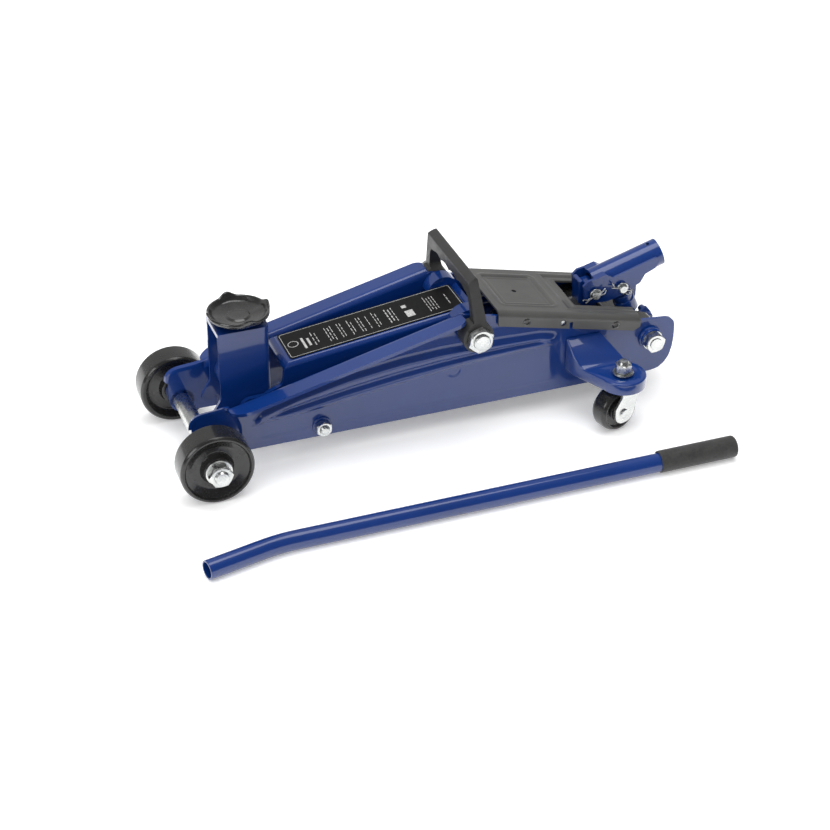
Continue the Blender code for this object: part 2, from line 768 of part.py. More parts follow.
def handle_socket():
    """A folded sheet: a round tube for the lever, opening below into two cheeks that hold the pins."""
    cheek = rounded(
        [
            (347, 82.5, 4),
            (344.5, 97.8, 2),
            (354.5, 100.8, 1),
            (356.5, 95.5, 0),
            (402.5, 109, 0),
            (403.5, 101, 2),
            (400, 93.5, 4),
            (396, 90, 3),
            (389, 88.6, 3),
            (381, 84, 6),
            (368, 81, 6),
        ]
    )
    between = [(330, 60), (330, 120), (354, 120), (357, 95), (396, 107), (396, 60)]
    front_end = MOUTH + TUBE_IN * TUBE_LENGTH
    piece(
        "handle_socket",
        prism(cheek, -CHEEK_OUT, CHEEK_OUT, "y"),
        "handle_socket",
        "blue_paint",
        join=[rod(MOUTH, front_end, TUBE_R, 28)],
        cut=[
            rod(MOUTH - TUBE_IN * 5, front_end + TUBE_IN * 5, TUBE_BORE, 28),
            prism(between, -CHEEK_IN, CHEEK_IN, "y"),
            across(*SOCKET, -40, 40, 4.3, 16),
            across(*PLUNGER_PIN, -40, 40, 4.3, 16),
        ],
    )
    for name, (x, z) in (("socket_pin", SOCKET), ("plunger_pin", PLUNGER_PIN)):
        head = across(x, z, CHEEK_OUT + 0.4, CHEEK_OUT + 2.4, 6.0, 16)
        shank = across(x, z, -CHEEK_OUT - 5.5, CHEEK_OUT + 1, 4.0, 16)
        piece(name, shank, "handle_socket", "zinc", join=[head])
        clip_y = -CHEEK_OUT - 2.4
        loop = turned([(7.2, -0.8), (7.2, 0.8), (5.4, 0.8), (5.4, -0.8)], (x, clip_y, z), (0, 1, 0), 20)
        tail = rod((x - 6.0, clip_y, z - 0.6), (x - 12, clip_y, z + 1.6), 0.8, 8)
        piece(f"{name}_clip", loop, "handle_socket", "zinc", join=[tail])


def plunger():
    top = PLUNGER_TOP
    away = Vector((-PUMP_DOWN.z, 0.0, PUMP_DOWN.x))
    head = box(-10.5, 8.5, -9.0, 9.0, -8.5, 8.0)
    slot = disc(-2.2, 0, 4.6, 12, math.pi / 2, 1.5 * math.pi) + disc(0.2, 0, 4.6, 12, -math.pi / 2, math.pi / 2)
    slot_mesh = prism(slot, -20, 20, "y")
    turn = Matrix(((-away.x, 0.0, -PUMP_DOWN.x), (0.0, 1.0, 0.0), (-away.z, 0.0, -PUMP_DOWN.z))).to_4x4()
    for mesh in (head, slot_mesh):
        bmesh.ops.transform(mesh, matrix=Matrix.Translation(top) @ turn, verts=mesh.verts)
    piece(
        "pump_plunger",
        head,
        "plunger",
        "steel",
        join=[rod(top + PUMP_DOWN * 5, top + PUMP_DOWN * (PUMP_REACH - 1.5), 5.0, 20)],
        cut=[slot_mesh],
    )


def release_valve():
    stem = rod(VALVE - VALVE_OUT * 11, VALVE + VALVE_OUT * 17, 5.0, 20)
    tee = VALVE + VALVE_OUT * 13
    piece(
        "release_valve",
        stem,
        "release_valve",
        "blue_paint",
        join=[rod(tee - Vector((0, 9.5, 0)), tee + Vector((0, 9.5, 0)), 3.2, 16)],
    )


# ---- carry handle and lever ----------------------------------------------------------------------


def carry_handle():
    """A moulded bail: two legs that lean inwards from round feet to a slanted grip bar."""
    px, pz = PIVOT
    leg = disc(px, pz, FOOT_R, 20, math.radians(107), math.radians(418)) + [BAR_REAR, BAR_FRONT]
    high = BAR_REAR[1] + 1.0
    half = [(FOOT_OUT, 60, 0), (FOOT_OUT, LEAN_START, 8), (KNUCKLE_HALF, high, 6)]
    front = rounded([(-y, z, r) for y, z, r in half] + half[::-1])
    half = [(FOOT_IN, 50, 0), (FOOT_IN, 108, 2), (48.6, 113, 3), (43.2, BAR_UNDER, 8)]
    gap = rounded([(-y, z, r) for y, z, r in half] + half[::-1])
    piece(
        "carry_handle",
        prism(leg, -FOOT_OUT, FOOT_OUT, "y"),
        "carry_handle",
        "black_plastic",
        keep=[prism(front, px - 30, px + 30, "x")],
        cut=[prism(gap, px - 40, px + 40, "x"), across(px, pz, -70, 70, SHAFT_BORE, 24)],
    )


def lever():
    """A bent steel tube, open at its tip, with a rubber grip pushed over its other end."""
    tip, end = LEVER_TIP, LEVER_END
    rise = 1.0
    route = [(*tip, LEVER_R)]
    for step in range(5):
        x = LEVER_BEND[0] + BEND_EASE * (step / 2 - 1)
        route.append((x, bend_y(x), LEVER_R))
    route.append((end[0] - 5.0, end[1], LEVER_R + rise))
    piece("lever_tube", pipe(route, LEVER_R, LEVER_BORE), "lever", "blue_paint")
    run = (Vector(route[-1]) - Vector(route[-2])).normalized()
    grip_end = Vector((*end, GRIP_R + 0.2))
    start = grip_end - run * GRIP_LENGTH
    piece(
        "lever_grip",
        rod(start, grip_end, GRIP_R, 24),
        "lever",
        "rubber",
        cut=[rod(Vector(route[-1]) - run * (GRIP_LENGTH + 5), Vector(route[-1]) + run * GAP, LEVER_R + GAP, 24)],
    )


def bend_y(x):
    """The lever's route: two straight runs eased into one another."""
    tip, bend, end = LEVER_TIP, LEVER_BEND, LEVER_END
    first = (bend[1] - tip[1]) / (bend[0] - tip[0])
    second = (end[1] - bend[1]) / (end[0] - bend[0])
    ease = BEND_EASE
    t = x - bend[0]
    if t < -ease:
        return bend[1] + first * t
    if t > ease:
        return bend[1] + second * t
    share = (t + ease) / (2 * ease)
    return bend[1] - first * ease + first * (t + ease) + (second - first) * ease * share * share


def bodies():
    px, pz = PIVOT
    fx, fz = FRONT_PIN
    body("chassis", (*SET_MIDDLE, 0))
    body("lift_arm", (px, 0, pz), "chassis")
    body("saddle_bracket", (fx, 0, fz), "lift_arm")
    body("saddle_rise", (SADDLE_X, 0, 58), "saddle_bracket")
    body("saddle", (SADDLE_X, 0, SADDLE_Z), "saddle_rise")
    body("links", (px + LINK_OFFSET[0], 0, pz + LINK_OFFSET[1]), "chassis")
    body("ram", (CYLINDER_X[0], 0, RAM_Z), "chassis")
    body("handle_socket", (SOCKET[0], 0, SOCKET[1]), "chassis")
    body("plunger", (*PLUNGER_TOP,), "chassis")
    body("release_valve", (*VALVE,), "chassis")
    body("carry_handle", (px, 0, pz), "chassis")
    body("lever", (LEVER_BEND[0], LEVER_BEND[1], LEVER_R), "chassis")
    for name, side in SIDES.items():
        body(f"front_wheel_{name}", (AXLE[0], 66 * side, AXLE[1]), "chassis")
        at = (CASTER[0], CASTER[1] * side)
        body(f"caster_{name}", (*at, SHELF_Z), "chassis", CASTER_SWIVEL)
        body(f"caster_wheel_{name}", (at[0] - CASTER_TRAIL, at[1], CASTER_R), f"caster_{name}")


def main():
    clear_scene()
    bodies()
    frame()
    cover()
    hydraulics()
    lift_arm()
    saddle_bracket()
    links()
    saddle()
    ram()
    front_wheels()
    casters()
    handle_socket()
    plunger()
    release_valve()
    carry_handle()
    lever()


main()
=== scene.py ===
"""The looks of a two-tonne trolley jack and its loose lever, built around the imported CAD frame.

Lengths are in millimetres in the jack's own coordinates until to_object() turns them into metres:
x = 0 at the front axle with +X towards the handle socket, y = 0 on the middle plane, z = 0 on the floor.
"""

import math

import bmesh
import bpy
import numpy as np
from mathutils import Matrix, Vector


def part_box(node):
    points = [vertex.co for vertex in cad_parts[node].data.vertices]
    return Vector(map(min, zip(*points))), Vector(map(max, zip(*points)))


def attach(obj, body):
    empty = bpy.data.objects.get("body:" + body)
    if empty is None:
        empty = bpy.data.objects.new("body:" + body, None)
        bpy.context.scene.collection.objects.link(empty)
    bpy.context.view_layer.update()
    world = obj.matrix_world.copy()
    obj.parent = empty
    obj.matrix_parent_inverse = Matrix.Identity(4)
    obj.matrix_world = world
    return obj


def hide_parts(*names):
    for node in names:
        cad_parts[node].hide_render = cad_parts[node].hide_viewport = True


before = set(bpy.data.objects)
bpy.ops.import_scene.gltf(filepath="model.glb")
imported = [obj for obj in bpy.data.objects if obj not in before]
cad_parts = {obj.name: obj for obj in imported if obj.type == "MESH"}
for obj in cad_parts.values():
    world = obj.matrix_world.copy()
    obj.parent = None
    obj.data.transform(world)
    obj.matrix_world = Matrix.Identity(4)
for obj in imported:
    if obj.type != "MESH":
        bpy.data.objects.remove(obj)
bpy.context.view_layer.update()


MM = 0.001
SIDES = {"left": -1, "right": 1}
UP, OUT = (0, 0, 1), (0, 1, 0)


def node_box(node):
    """Lowest and highest corner of a CAD node, in jack millimetres."""
    low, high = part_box(node)
    return (Vector(low) - ORIGIN) / MM, (Vector(high) - ORIGIN) / MM


def centre(node):
    low, high = node_box(node)
    return (low + high) / 2


def reach(node):
    """How near the middle plane a CAD node comes, and how far from it."""
    low, high = node_box(node)
    return sorted((abs(low.y), abs(high.y)))


axle_low, axle_high = (Vector(v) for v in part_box("front_axle"))
ORIGIN = Vector(((axle_low.x + axle_high.x) / 2, (axle_low.y + axle_high.y) / 2, 0.0))

AXLE = centre("front_axle")
PIVOT = centre("pivot_shaft")
TIE = centre("tie_bolt")
REAR_BOLT = centre("rear_bolt_left")
FRONT_PIN = centre("front_pin")
CROSSHEAD = centre("crosshead_pin")
LINK_PIN = centre("link_pin_front")
LINK_REAR = PIVOT + Vector((-5, 0, -17.3))
SOCKET_PIN = centre("socket_pin")
PLUNGER_PIN = centre("plunger_pin")
SADDLE = centre("saddle")
COVER_LOW, COVER_HIGH = node_box("cover")
HANDLE_HIGH = node_box("carry_handle")[1]

# The plates' outer face and thickness, and the lines z = Z0 + SLOPE * x of the flange, cover and arm.
WEB_OUT, SHEET = 40.0, 3.0
FLANGE_OUT = node_box("side_plate_right")[1].y
FLANGE_Z0, FLANGE_SLOPE = 58.7, 0.2456
COVER_Z0, COVER_SLOPE = 166.6, -0.2336
ARM_TOP_Z0, ARM_TOP_SLOPE = 75.8, 0.129

# The socket's mouth and run, the pump's run, the valve's foot and run, and the lever's bend and end (x, y).
SOCKET_MOUTH, SOCKET_IN, SOCKET_UP = (
    Vector((421.0, 0.0, 113.8)), Vector((-0.956, 0.0, -0.292)).normalized(), Vector((-0.292, 0.0, 0.956)).normalized()
)
PUMP_DOWN = Vector((0.41, 0.0, -0.912)).normalized()
VALVE, VALVE_OUT = Vector((402.0, 0.0, 47.0)), Vector((0.82, 0.0, 0.572)).normalized()
LEVER_RADIUS, LEVER_BORE, LEVER_EASE = 8.0, 6.5, 14.0
LEVER_TIP, LEVER_BEND, LEVER_END = (-36.7, -171.1), (26.0, -156.8), (422.0, -158.6)

# Where the camera stands and looks, and its focal length, fitted to the photograph.
CAMERA_AT, CAMERA_TOWARDS, CAMERA_LENS = (-324.0, -1412.9, 962.9), (196.14, 0.0, -5.54), 89.45


# ---- material nodes ----


class Nodes:
    """A small wrapper that makes a Principled material and adds nodes to it."""

    def __init__(self, name, colour, roughness, metallic=0.0, **sockets):
        self.material = bpy.data.materials.new(name)
        self.material.use_nodes = True
        self.tree = self.material.node_tree
        self.shader = self.tree.nodes["Principled BSDF"]
        self.fill(self.shader, {"Base Color": (*colour, 1.0), "Roughness": roughness, "Metallic": metallic})
        self.fill(self.shader, {socket.replace("_", " "): value for socket, value in sockets.items()})
        self.coordinates = self.add("ShaderNodeTexCoord").outputs["Object"]

    def fill(self, node, sockets):
        """Links a socket to another node's output, or sets it to a value."""
        for key, value in sockets.items():
            if isinstance(value, bpy.types.NodeSocket):
                self.tree.links.new(value, node.inputs[key])
            else:
                node.inputs[key].default_value = value

    def add(self, kind, sockets=None, **settings):
        node = self.tree.nodes.new(kind)
        for key, value in settings.items():
            setattr(node, key, value)
        self.fill(node, sockets or {})
        return node

    def noise(self, scale, detail=2.0, roughness=0.5, stretch=None):
        source = self.coordinates
        if stretch:
            source = self.add("ShaderNodeMapping", {"Scale": stretch, "Vector": source}).outputs["Vector"]
        sockets = {"Scale": scale, "Detail": detail, "Roughness": roughness, "Vector": source}
        return self.add("ShaderNodeTexNoise", sockets).outputs["Fac"]

    def remap(self, value, low, high):
        """Takes the middle of a noise, 0.3 to 0.7, to low and high."""
        sockets = {"Value": value, "From Min": 0.3, "From Max": 0.7, "To Min": low, "To Max": high}
        return self.add("ShaderNodeMapRange", sockets).outputs["Result"]

    def mix(self, factor, first, second):
        sockets = {0: factor, 6: (*first, 1.0), 7: (*second, 1.0)}
        return self.add("ShaderNodeMix", sockets, data_type="RGBA").outputs[2]

    def bump(self, *layers):
        """Chains bump nodes from (height, strength, distance in mm) layers."""
        normal = {}
        for height, strength, distance in layers:
            sockets = {"Strength": strength, "Distance": distance * MM, "Height": height, **normal}
            normal = {"Normal": self.add("ShaderNodeBump", sockets).outputs["Normal"]}
        self.fill(self.shader, normal)


def material(name, colour, roughness, metallic=0.0, tint=None, gloss=None, bumps=(), **sockets):
    """tint is (noise, colour, colour), gloss is (noise, low, high), and a bump is (noise, strength, mm)."""
    nodes = Nodes(name, colour, roughness, metallic, **sockets)
    if tint:
        factor = nodes.remap(nodes.noise(*tint[0]), 0.0, 1.0)
        nodes.fill(nodes.shader, {"Base Color": nodes.mix(factor, *tint[1:])})
    if gloss:
        nodes.fill(nodes.shader, {"Roughness": nodes.remap(nodes.noise(*gloss[0]), *gloss[1:])})
    if bumps:
        nodes.bump(*[(nodes.noise(*noise), strength, distance) for noise, strength, distance in bumps])
    return nodes.material


BLUE = material(
    "blue_enamel", (0.002, 0.026, 0.155), 0.34,
    tint=((9.0, 3.0), (0.0016, 0.022, 0.135), (0.0028, 0.030, 0.172)),
    gloss=((60.0, 3.0), 0.28, 0.40),
    bumps=(((70.0, 1.0), 0.10, 0.25), ((420.0, 2.0), 0.08, 0.06)),
    Coat_Weight=1.0, Coat_Roughness=0.05, Coat_IOR=1.55, Specular_IOR_Level=0.25,
)
BLACK = material(
    "black_enamel", (0.05, 0.05, 0.05), 0.36,
    tint=((14.0, 4.0), (0.056, 0.056, 0.054), (0.080, 0.079, 0.076)),
    gloss=((90.0, 4.0), 0.32, 0.42),
    bumps=(((900.0, 2.0), 0.25, 0.05), ((80.0, 1.0), 0.05, 0.2)),
    Coat_Weight=0.25, Coat_Roughness=0.2,
)
WHEEL = material(
    "wheel_plastic", (0.012, 0.012, 0.012), 0.2,
    tint=((40.0, 5.0), (0.009, 0.009, 0.009), (0.018, 0.018, 0.017)),
    gloss=((120.0, 6.0, 0.7), 0.14, 0.34),
    bumps=(((160.0, 4.0, 0.6), 0.08, 0.2), ((30.0, 2.0), 0.06, 0.6)),
    Coat_Weight=0.3, Coat_Roughness=0.1,
)
HANDLE = material(
    "handle_plastic", (0.035, 0.035, 0.035), 0.42,
    tint=((25.0, 3.0), (0.024, 0.024, 0.0235), (0.034, 0.034, 0.033)),
    gloss=((200.0, 3.0), 0.36, 0.5),
    bumps=(((1300.0, 2.0), 0.35, 0.05),),
)
RUBBER = material(
    "grip_rubber", (0.04, 0.04, 0.04), 0.72,
    tint=((180.0, 4.0), (0.018, 0.018, 0.0175), (0.031, 0.030, 0.029)),
    gloss=((500.0, 3.0), 0.62, 0.82),
    bumps=(((900.0, 3.0, 0.6), 0.6, 0.12), ((60.0, 2.0), 0.15, 0.3)),
    Sheen_Weight=0.25, Sheen_Roughness=0.5,
)
ZINC = material(
    "bright_zinc", (0.68, 0.70, 0.69), 0.26, 1.0,
    tint=((70.0, 4.0), (0.58, 0.60, 0.59), (0.76, 0.77, 0.75)),
    gloss=((240.0, 5.0, 0.65), 0.20, 0.38),
    bumps=(((500.0, 3.0), 0.10, 0.05), ((90.0, 2.0), 0.06, 0.2)),
)
STEEL = material(
    "bare_steel", (0.48, 0.48, 0.49), 0.3, 1.0,
    gloss=((150.0, 5.0, 0.6), 0.22, 0.42),
    bumps=(((300.0, 3.0, 0.5, (0.15, 1.0, 1.0)), 0.2, 0.1),),
)
IRON = material(
    "black_casting", (0.010, 0.010, 0.010), 0.22,
    tint=((90.0, 4.0), (0.007, 0.007, 0.007), (0.017, 0.017, 0.016)),
    gloss=((220.0, 4.0), 0.18, 0.36),
    bumps=(((260.0, 3.0, 0.6), 0.40, 0.35), ((80.0, 2.0), 0.55, 1.6)),
    Coat_Weight=1.0, Coat_Roughness=0.05,
)
FILM = material(
    "label_film", (0.004, 0.004, 0.004), 0.45,
    gloss=((300.0, 3.0), 0.40, 0.52),
    bumps=(((60.0, 2.0), 0.05, 0.1),),
    Specular_IOR_Level=0.22,
)
PRINT = material("label_print", (0.62, 0.62, 0.60), 0.45, tint=((700.0, 3.0), (0.26, 0.26, 0.255), (0.52, 0.52, 0.51)))


# ---- meshes in jack millimetres ----


def disc(u, v, radius, sides=48, first=0.0, last=2 * math.pi):
    whole = last - first > 2 * math.pi - 1e-6
    count = sides if whole else sides + 1
    angles = [first + (last - first) * i / sides for i in range(count)]
    return [(u + radius * math.cos(a), v + radius * math.sin(a)) for a in angles]


def arc(u, v, radius, sides, first, last):
    """A disc's edge between two angles in degrees."""
    return disc(u, v, radius, sides, math.radians(first), math.radians(last))


def rounded(points, steps=8):
    """An outline whose corners (u, v, radius) are turned into arcs."""
    outline = []
    for i, (u, v, radius) in enumerate(points):
        corner = Vector((u, v))
        if radius == 0:
            outline.append((u, v))
            continue
        before = (Vector(points[i - 1][:2]) - corner).normalized()
        after = (Vector(points[(i + 1) % len(points)][:2]) - corner).normalized()
        half = before.angle(after) / 2
        middle = corner + (before + after).normalized() * radius / math.sin(half)
        start = corner + before * radius / math.tan(half) - middle
        end = corner + after * radius / math.tan(half) - middle
        sweep = start.angle_signed(end)
        for step in range(steps + 1):
            outline.append(tuple(middle + Matrix.Rotation(-sweep * step / steps, 2) @ start))
    return outline


def bridge(mesh, first, second):
    """Faces between two loops of as many vertices."""
    count = len(first)
    for i in range(count):
        j = (i + 1) % count
        mesh.faces.new((first[i], first[j], second[j], second[i]))


def prism(outline, low, high, axis, mesh=None):
    """An outline (u, v) pushed along an axis, closed at both ends."""
    mesh = mesh or bmesh.new()
    place = {
        "x": lambda u, v, w: (w, u, v),
        "y": lambda u, v, w: (u, w, v),
        "z": lambda u, v, w: (u, v, w),
    }[axis]
    rings = [[mesh.verts.new(place(u, v, w)) for u, v in outline] for w in (low, high)]
    mesh.faces.new(rings[0])
    mesh.faces.new(rings[1])
    bridge(mesh, *rings)
    return mesh


def box(x0, x1, y0, y1, z0, z1):
    return prism([(x0, y0), (x1, y0), (x1, y1), (x0, y1)], z0, z1, "z")


def frame_of(direction):
    return Vector(direction).normalized().to_track_quat("Z", "Y").to_matrix()


def both_ways(half):
    """A turned profile from the middle outwards, with its mirror image before it."""
    return [(r, -a) for r, a in reversed(half)][:-1] + half


def turned(profile, start, direction, sides=72, wobble=None):
    """A closed profile of (radius, distance) points turned about an axis. Points at radius 0 close it.

    wobble(radius, distance, angle) gives the radius and distance of a point that isn't round."""
    start, turn = Vector(start), frame_of(direction)
    mesh = bmesh.new()
    rings = []
    for radius, along in profile:
        if radius < 1e-6:
            rings.append([mesh.verts.new(start + turn @ Vector((0, 0, along)))])
            continue
        ring = []
        for i in range(sides):
            angle = 2 * math.pi * i / sides
            r, a = wobble(radius, along, angle) if wobble else (radius, along)
            ring.append(mesh.verts.new(start + turn @ Vector((r * math.cos(angle), r * math.sin(angle), a))))
        rings.append(ring)
    closed = len(rings[0]) > 1
    pairs = zip(rings, rings[1:] + rings[:1]) if closed else zip(rings, rings[1:])
    for a, b in pairs:
        if len(a) > 1 and len(b) > 1:
            bridge(mesh, a, b)
        elif len(a) > 1 or len(b) > 1:
            (tip,), ring = sorted((a, b), key=len)
            for i in range(sides):
                mesh.faces.new((ring[i], ring[(i + 1) % sides], tip))
    return mesh


def capped(points, steps=4):
    """A profile from axis to axis, with its corners rounded where the third value isn't 0."""
    return rounded([(0, points[0][1], 0)] + points + [(0, points[-1][1], 0)], steps)


def rod(start, end, radius, sides=48, soften=0.4):
    start, end = Vector(start), Vector(end)
    length = (end - start).length
    return turned(capped([(radius, 0, soften), (radius, length, soften)]), start, end - start, sides)


def across(x, z, y0, y1, radius, sides=48, soften=0.4):
    return rod((x, y0, z), (x, y1, z), radius, sides, soften)


def cutter(x, z, y0, y1, radius, sides=48):
    return prism(disc(x, z, radius, sides), y0, y1, "y")


def swept(route, radius, sides=16):
    """A round wire along a list of points."""
    route = [Vector(p) for p in route]
    mesh = bmesh.new()
    rings = []
    side = None
    for i, point in enumerate(route):
        before = point - route[max(i - 1, 0)]
        after = route[min(i + 1, len(route) - 1)] - point
        along = (before.normalized() + after.normalized()).normalized()
        if side is None:
            side = along.orthogonal().normalized()
        side = (side - along * side.dot(along)).normalized()
        up = along.cross(side)
        rings.append([mesh.verts.new(point + side * u + up * v) for u, v in disc(0, 0, radius, sides)])
    for a, b in zip(rings, rings[1:]):
        bridge(mesh, a, b)
    mesh.faces.new(rings[0])
    mesh.faces.new(rings[-1])
    return mesh


def grid_mesh(points):
    """Quads over a rows x columns x 3 array of points."""
    mesh = bmesh.new()
    rows = [[mesh.verts.new(p) for p in row] for row in points]
    for a, b in zip(rows, rows[1:]):
        for i in range(len(a) - 1):
            mesh.faces.new((a[i], a[i + 1], b[i + 1], b[i]))
    return mesh


def mirrored(mesh, side):
    if side < 0:
        bmesh.ops.scale(mesh, verts=mesh.verts, vec=(1, -1, 1))
    return mesh


def sheared(mesh, z0, slope):
    for vert in mesh.verts:
        vert.co.z += z0 + slope * vert.co.x
    return mesh


def smooth(value, low, high):
    share = np.clip((value - low) / (high - low), 0.0, 1.0)
    return share * share * (3 - 2 * share)


# ---- pieces ----


def to_object(name, mesh, sharp=40):
    """An object from a bmesh in jack millimetres."""
    bmesh.ops.scale(mesh, verts=mesh.verts, vec=(MM, MM, MM))
    bmesh.ops.translate(mesh, verts=mesh.verts, vec=ORIGIN)
    bmesh.ops.recalc_face_normals(mesh, faces=mesh.faces)
    data = bpy.data.meshes.new(name)
    mesh.to_mesh(data)
    mesh.free()
    data.shade_smooth()
    data.set_sharp_from_angle(angle=math.radians(sharp))
    obj = bpy.data.objects.new(name, data)
    bpy.context.scene.collection.objects.link(obj)
    return obj


def applied(obj):
    """Turns the object's modifiers into its mesh."""
    graph = bpy.context.evaluated_depsgraph_get()
    made = bpy.data.meshes.new_from_object(obj.evaluated_get(graph))
    old = obj.data
    obj.modifiers.clear()
    obj.data = made
    bpy.data.meshes.remove(old)
    return obj


def boolean(obj, mesh, operation):
    other = to_object(f"{obj.name}_tool", mesh)
    step = obj.modifiers.new(operation, "BOOLEAN")
    step.operation = operation
    step.object = other
    applied(obj)
    tool = other.data
    bpy.data.objects.remove(other)
    bpy.data.meshes.remove(tool)
    return obj


def bevel(obj, width, segments=3, angle=32):
    step = obj.modifiers.new("edges", "BEVEL")
    step.width = width * MM
    step.segments = segments
    step.limit_method = "ANGLE"
    step.angle_limit = math.radians(angle)
    step.use_clamp_overlap = True
    step.harden_normals = True
    return obj


def edged(obj, sharp):
    """Smooth shading, with edges sharper than this angle in degrees kept."""
    obj.data.shade_smooth()
    obj.data.set_sharp_from_angle(angle=math.radians(sharp))


def finished(obj, material, body, *nodes, sharp=None):
    """Gives a piece its material and its body, and says which CAD nodes it stands for."""
    obj.data.materials.clear()
    obj.data.materials.append(material)
    if sharp:
        edged(obj, sharp)
    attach(obj, body)
    if nodes:
        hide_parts(*nodes)
    return obj


def solid(name, mesh, material, body, *nodes, join=(), keep=(), cut=(), edge, sharp=35, angle=32):
    """A piece from Boolean steps, with its edges rounded by a bevel."""
    obj = to_object(name, mesh, sharp)
    for operation, others in (("UNION", join), ("INTERSECT", keep), ("DIFFERENCE", cut)):
        for other in others:
            boolean(obj, other, operation)
    edged(obj, sharp)
    bevel(obj, edge, 3, angle)
    return finished(obj, material, body, *nodes)


def piece(name, mesh, material, body, *nodes, sharp=30):
    """A piece made in one go."""
    return finished(to_object(name, mesh, sharp), material, body, *nodes)


def lathe(name, profile, at, direction, material, body, *nodes, sides=56, sharp=30, side=1, wobble=None):
    """A piece turned about an axis. side = -1 mirrors it."""
    mesh = mirrored(turned(profile, at, direction, sides, wobble), side)
    return piece(name, mesh, material, body, *nodes, sharp=sharp)


def own_shape(node, material, edge):
    """A CAD node whose own shape is shown gets a material and rounded edges."""
    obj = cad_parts[node]
    obj.data.materials.clear()
    obj.data.materials.append(material)
    bevel(obj, edge, 2, 35)


# ---- fasteners ----


def hex_piece(name, start, direction, flats, length, material, body, *nodes, bore=0.0, join=(), spin=0.0):
    """A hex nut or head whose corners are turned down at both ends."""
    start, turn = Vector(start), frame_of(direction)
    corner, flat = flats / math.sqrt(3), flats / 2 * 0.94
    mesh = prism(disc(0, 0, corner, 6, spin, spin + 2 * math.pi), 0, length, "z")
    bmesh.ops.transform(mesh, matrix=Matrix.Translation(start) @ turn.to_4x4(), verts=mesh.verts)
    drop = 0.72 * (corner - flat)
    lathe = [(0, -0.01), (flat, -0.01), (corner + 0.1, drop), (corner + 0.1, length - drop), (flat, length + 0.01)]
    obj = to_object(name, mesh)
    boolean(obj, turned(lathe + [(0, length + 0.01)], start, direction, 72), "INTERSECT")
    if bore:
        hole = [(0, -1), (bore, -1), (bore, length + 1), (0, length + 1)]
        boolean(obj, turned(hole, start, direction, 40), "DIFFERENCE")
    for other in join:
        boolean(obj, other, "UNION")
    edged(obj, 30)
    bevel(obj, 0.25, 2, 30)
    return finished(obj, material, body, *nodes)


def threaded(radius, low, high, pitch=1.5, dome=0.8, depth=0.55):
    """A stud's profile: rings of thread, then a chamfered, slightly domed end."""
    profile = [(0, low), (radius - depth, low)]
    count = max(1, int((high - dome - low) / pitch))
    for i in range(count):
        along = low + pitch * i
        profile += [(radius - depth, along + 0.1), (radius, along + pitch * 0.5)]
    profile += [(radius - depth, high - dome), (radius * 0.72, high - dome * 0.25), (0, high)]
    return profile


# ---- frame ----


def interpolate(points, at):
    xs, ys = zip(*points)
    return float(np.interp(at, xs, ys))


WEB_TOP = [
    (-11, 50), (-10.6, 53.5), (-9, 56.5), (-6, 58.7), (-2, 59.9), (4, 60.4), (14, 61.2), (22, 63.1),
    (215, 110.5), (222, 111.2), (232, 109.0), (243, 105.9), (252, 104.4), (386, 73.1), (413, 70.6),
    (417.5, 69.0), (420.3, 65.5), (421, 61),
]
WEB_BOTTOM = [
    (-11, 33), (-10.2, 29.4), (-7.8, 26.2), (-2, 22.2), (3, 20.3), (6, 20), (400, 20), (407, 21.2),
    (413, 25.4), (417.6, 32), (420, 41), (421, 50),
]
RIB_TOP = [
    (41, 42), (43, 49), (48, 54.5), (81, 64.5), (124, 73.5), (168, 79), (204, 81), (240, 80.5), (294, 78.5), (305, 76),
]
RIB_LOW = [(41, 42), (53, 44.5), (81, 46), (124, 51), (168, 56.5), (204, 60.5), (231, 63.5), (276, 65.8), (305, 66)]


def web_relief(x, z):
    """How far the pressing stands out of the web: two ridges from one nose, over a shallow panel."""
    if x < 38 or x > 314:
        return 0.0
    top, low = interpolate(RIB_TOP, x), interpolate(RIB_LOW, x)
    tall = top - low
    middle = low + tall * 0.46
    ends = float(smooth(x, 39, 49) * (1 - smooth(x, 302, 311)))
    slope = min(4.2, tall * 0.36)
    rib = float(smooth(z, low - 1.0, low - 1.0 + slope) * (1 - smooth(z, top + 1.0 - slope * 1.3, top + 1.0))) * ends
    groove_width = 0.10 * tall + 0.7
    groove = math.exp(-(((z - middle) / groove_width) ** 2)) * float(smooth(x, 50, 74) * (1 - smooth(x, 290, 301)))
    panel_ends = float(smooth(x, 44, 50) * (1 - smooth(x, 303, 311)))
    panel = float(smooth(z, 28.0, 31.0) * (1 - smooth(z, top, top + 3.0))) * panel_ends
    far = math.hypot(x - 216, z - 59)
    weld = 0.45 * math.exp(-(((far - 4.8) / 0.9) ** 2))
    return 2.8 * rib - 2.3 * groove * rib + 0.5 * panel - weld


def flange_width(x):
    """How far the top is folded out at x, with both ends rounded in plan."""
    start, end, full = 19.0, 223.0, FLANGE_OUT - WEB_OUT
    front, back = 19.0, 9.0
    if x <= start or x >= end:
        return 0.0
    width = full
    if x < start + front:
        width = full * math.sqrt(max(0.0, 1 - ((start + front - x) / front) ** 2))
    if x > end - back:
        width = full - back + math.sqrt(max(0.0, back**2 - (x - end + back) ** 2))
    return width


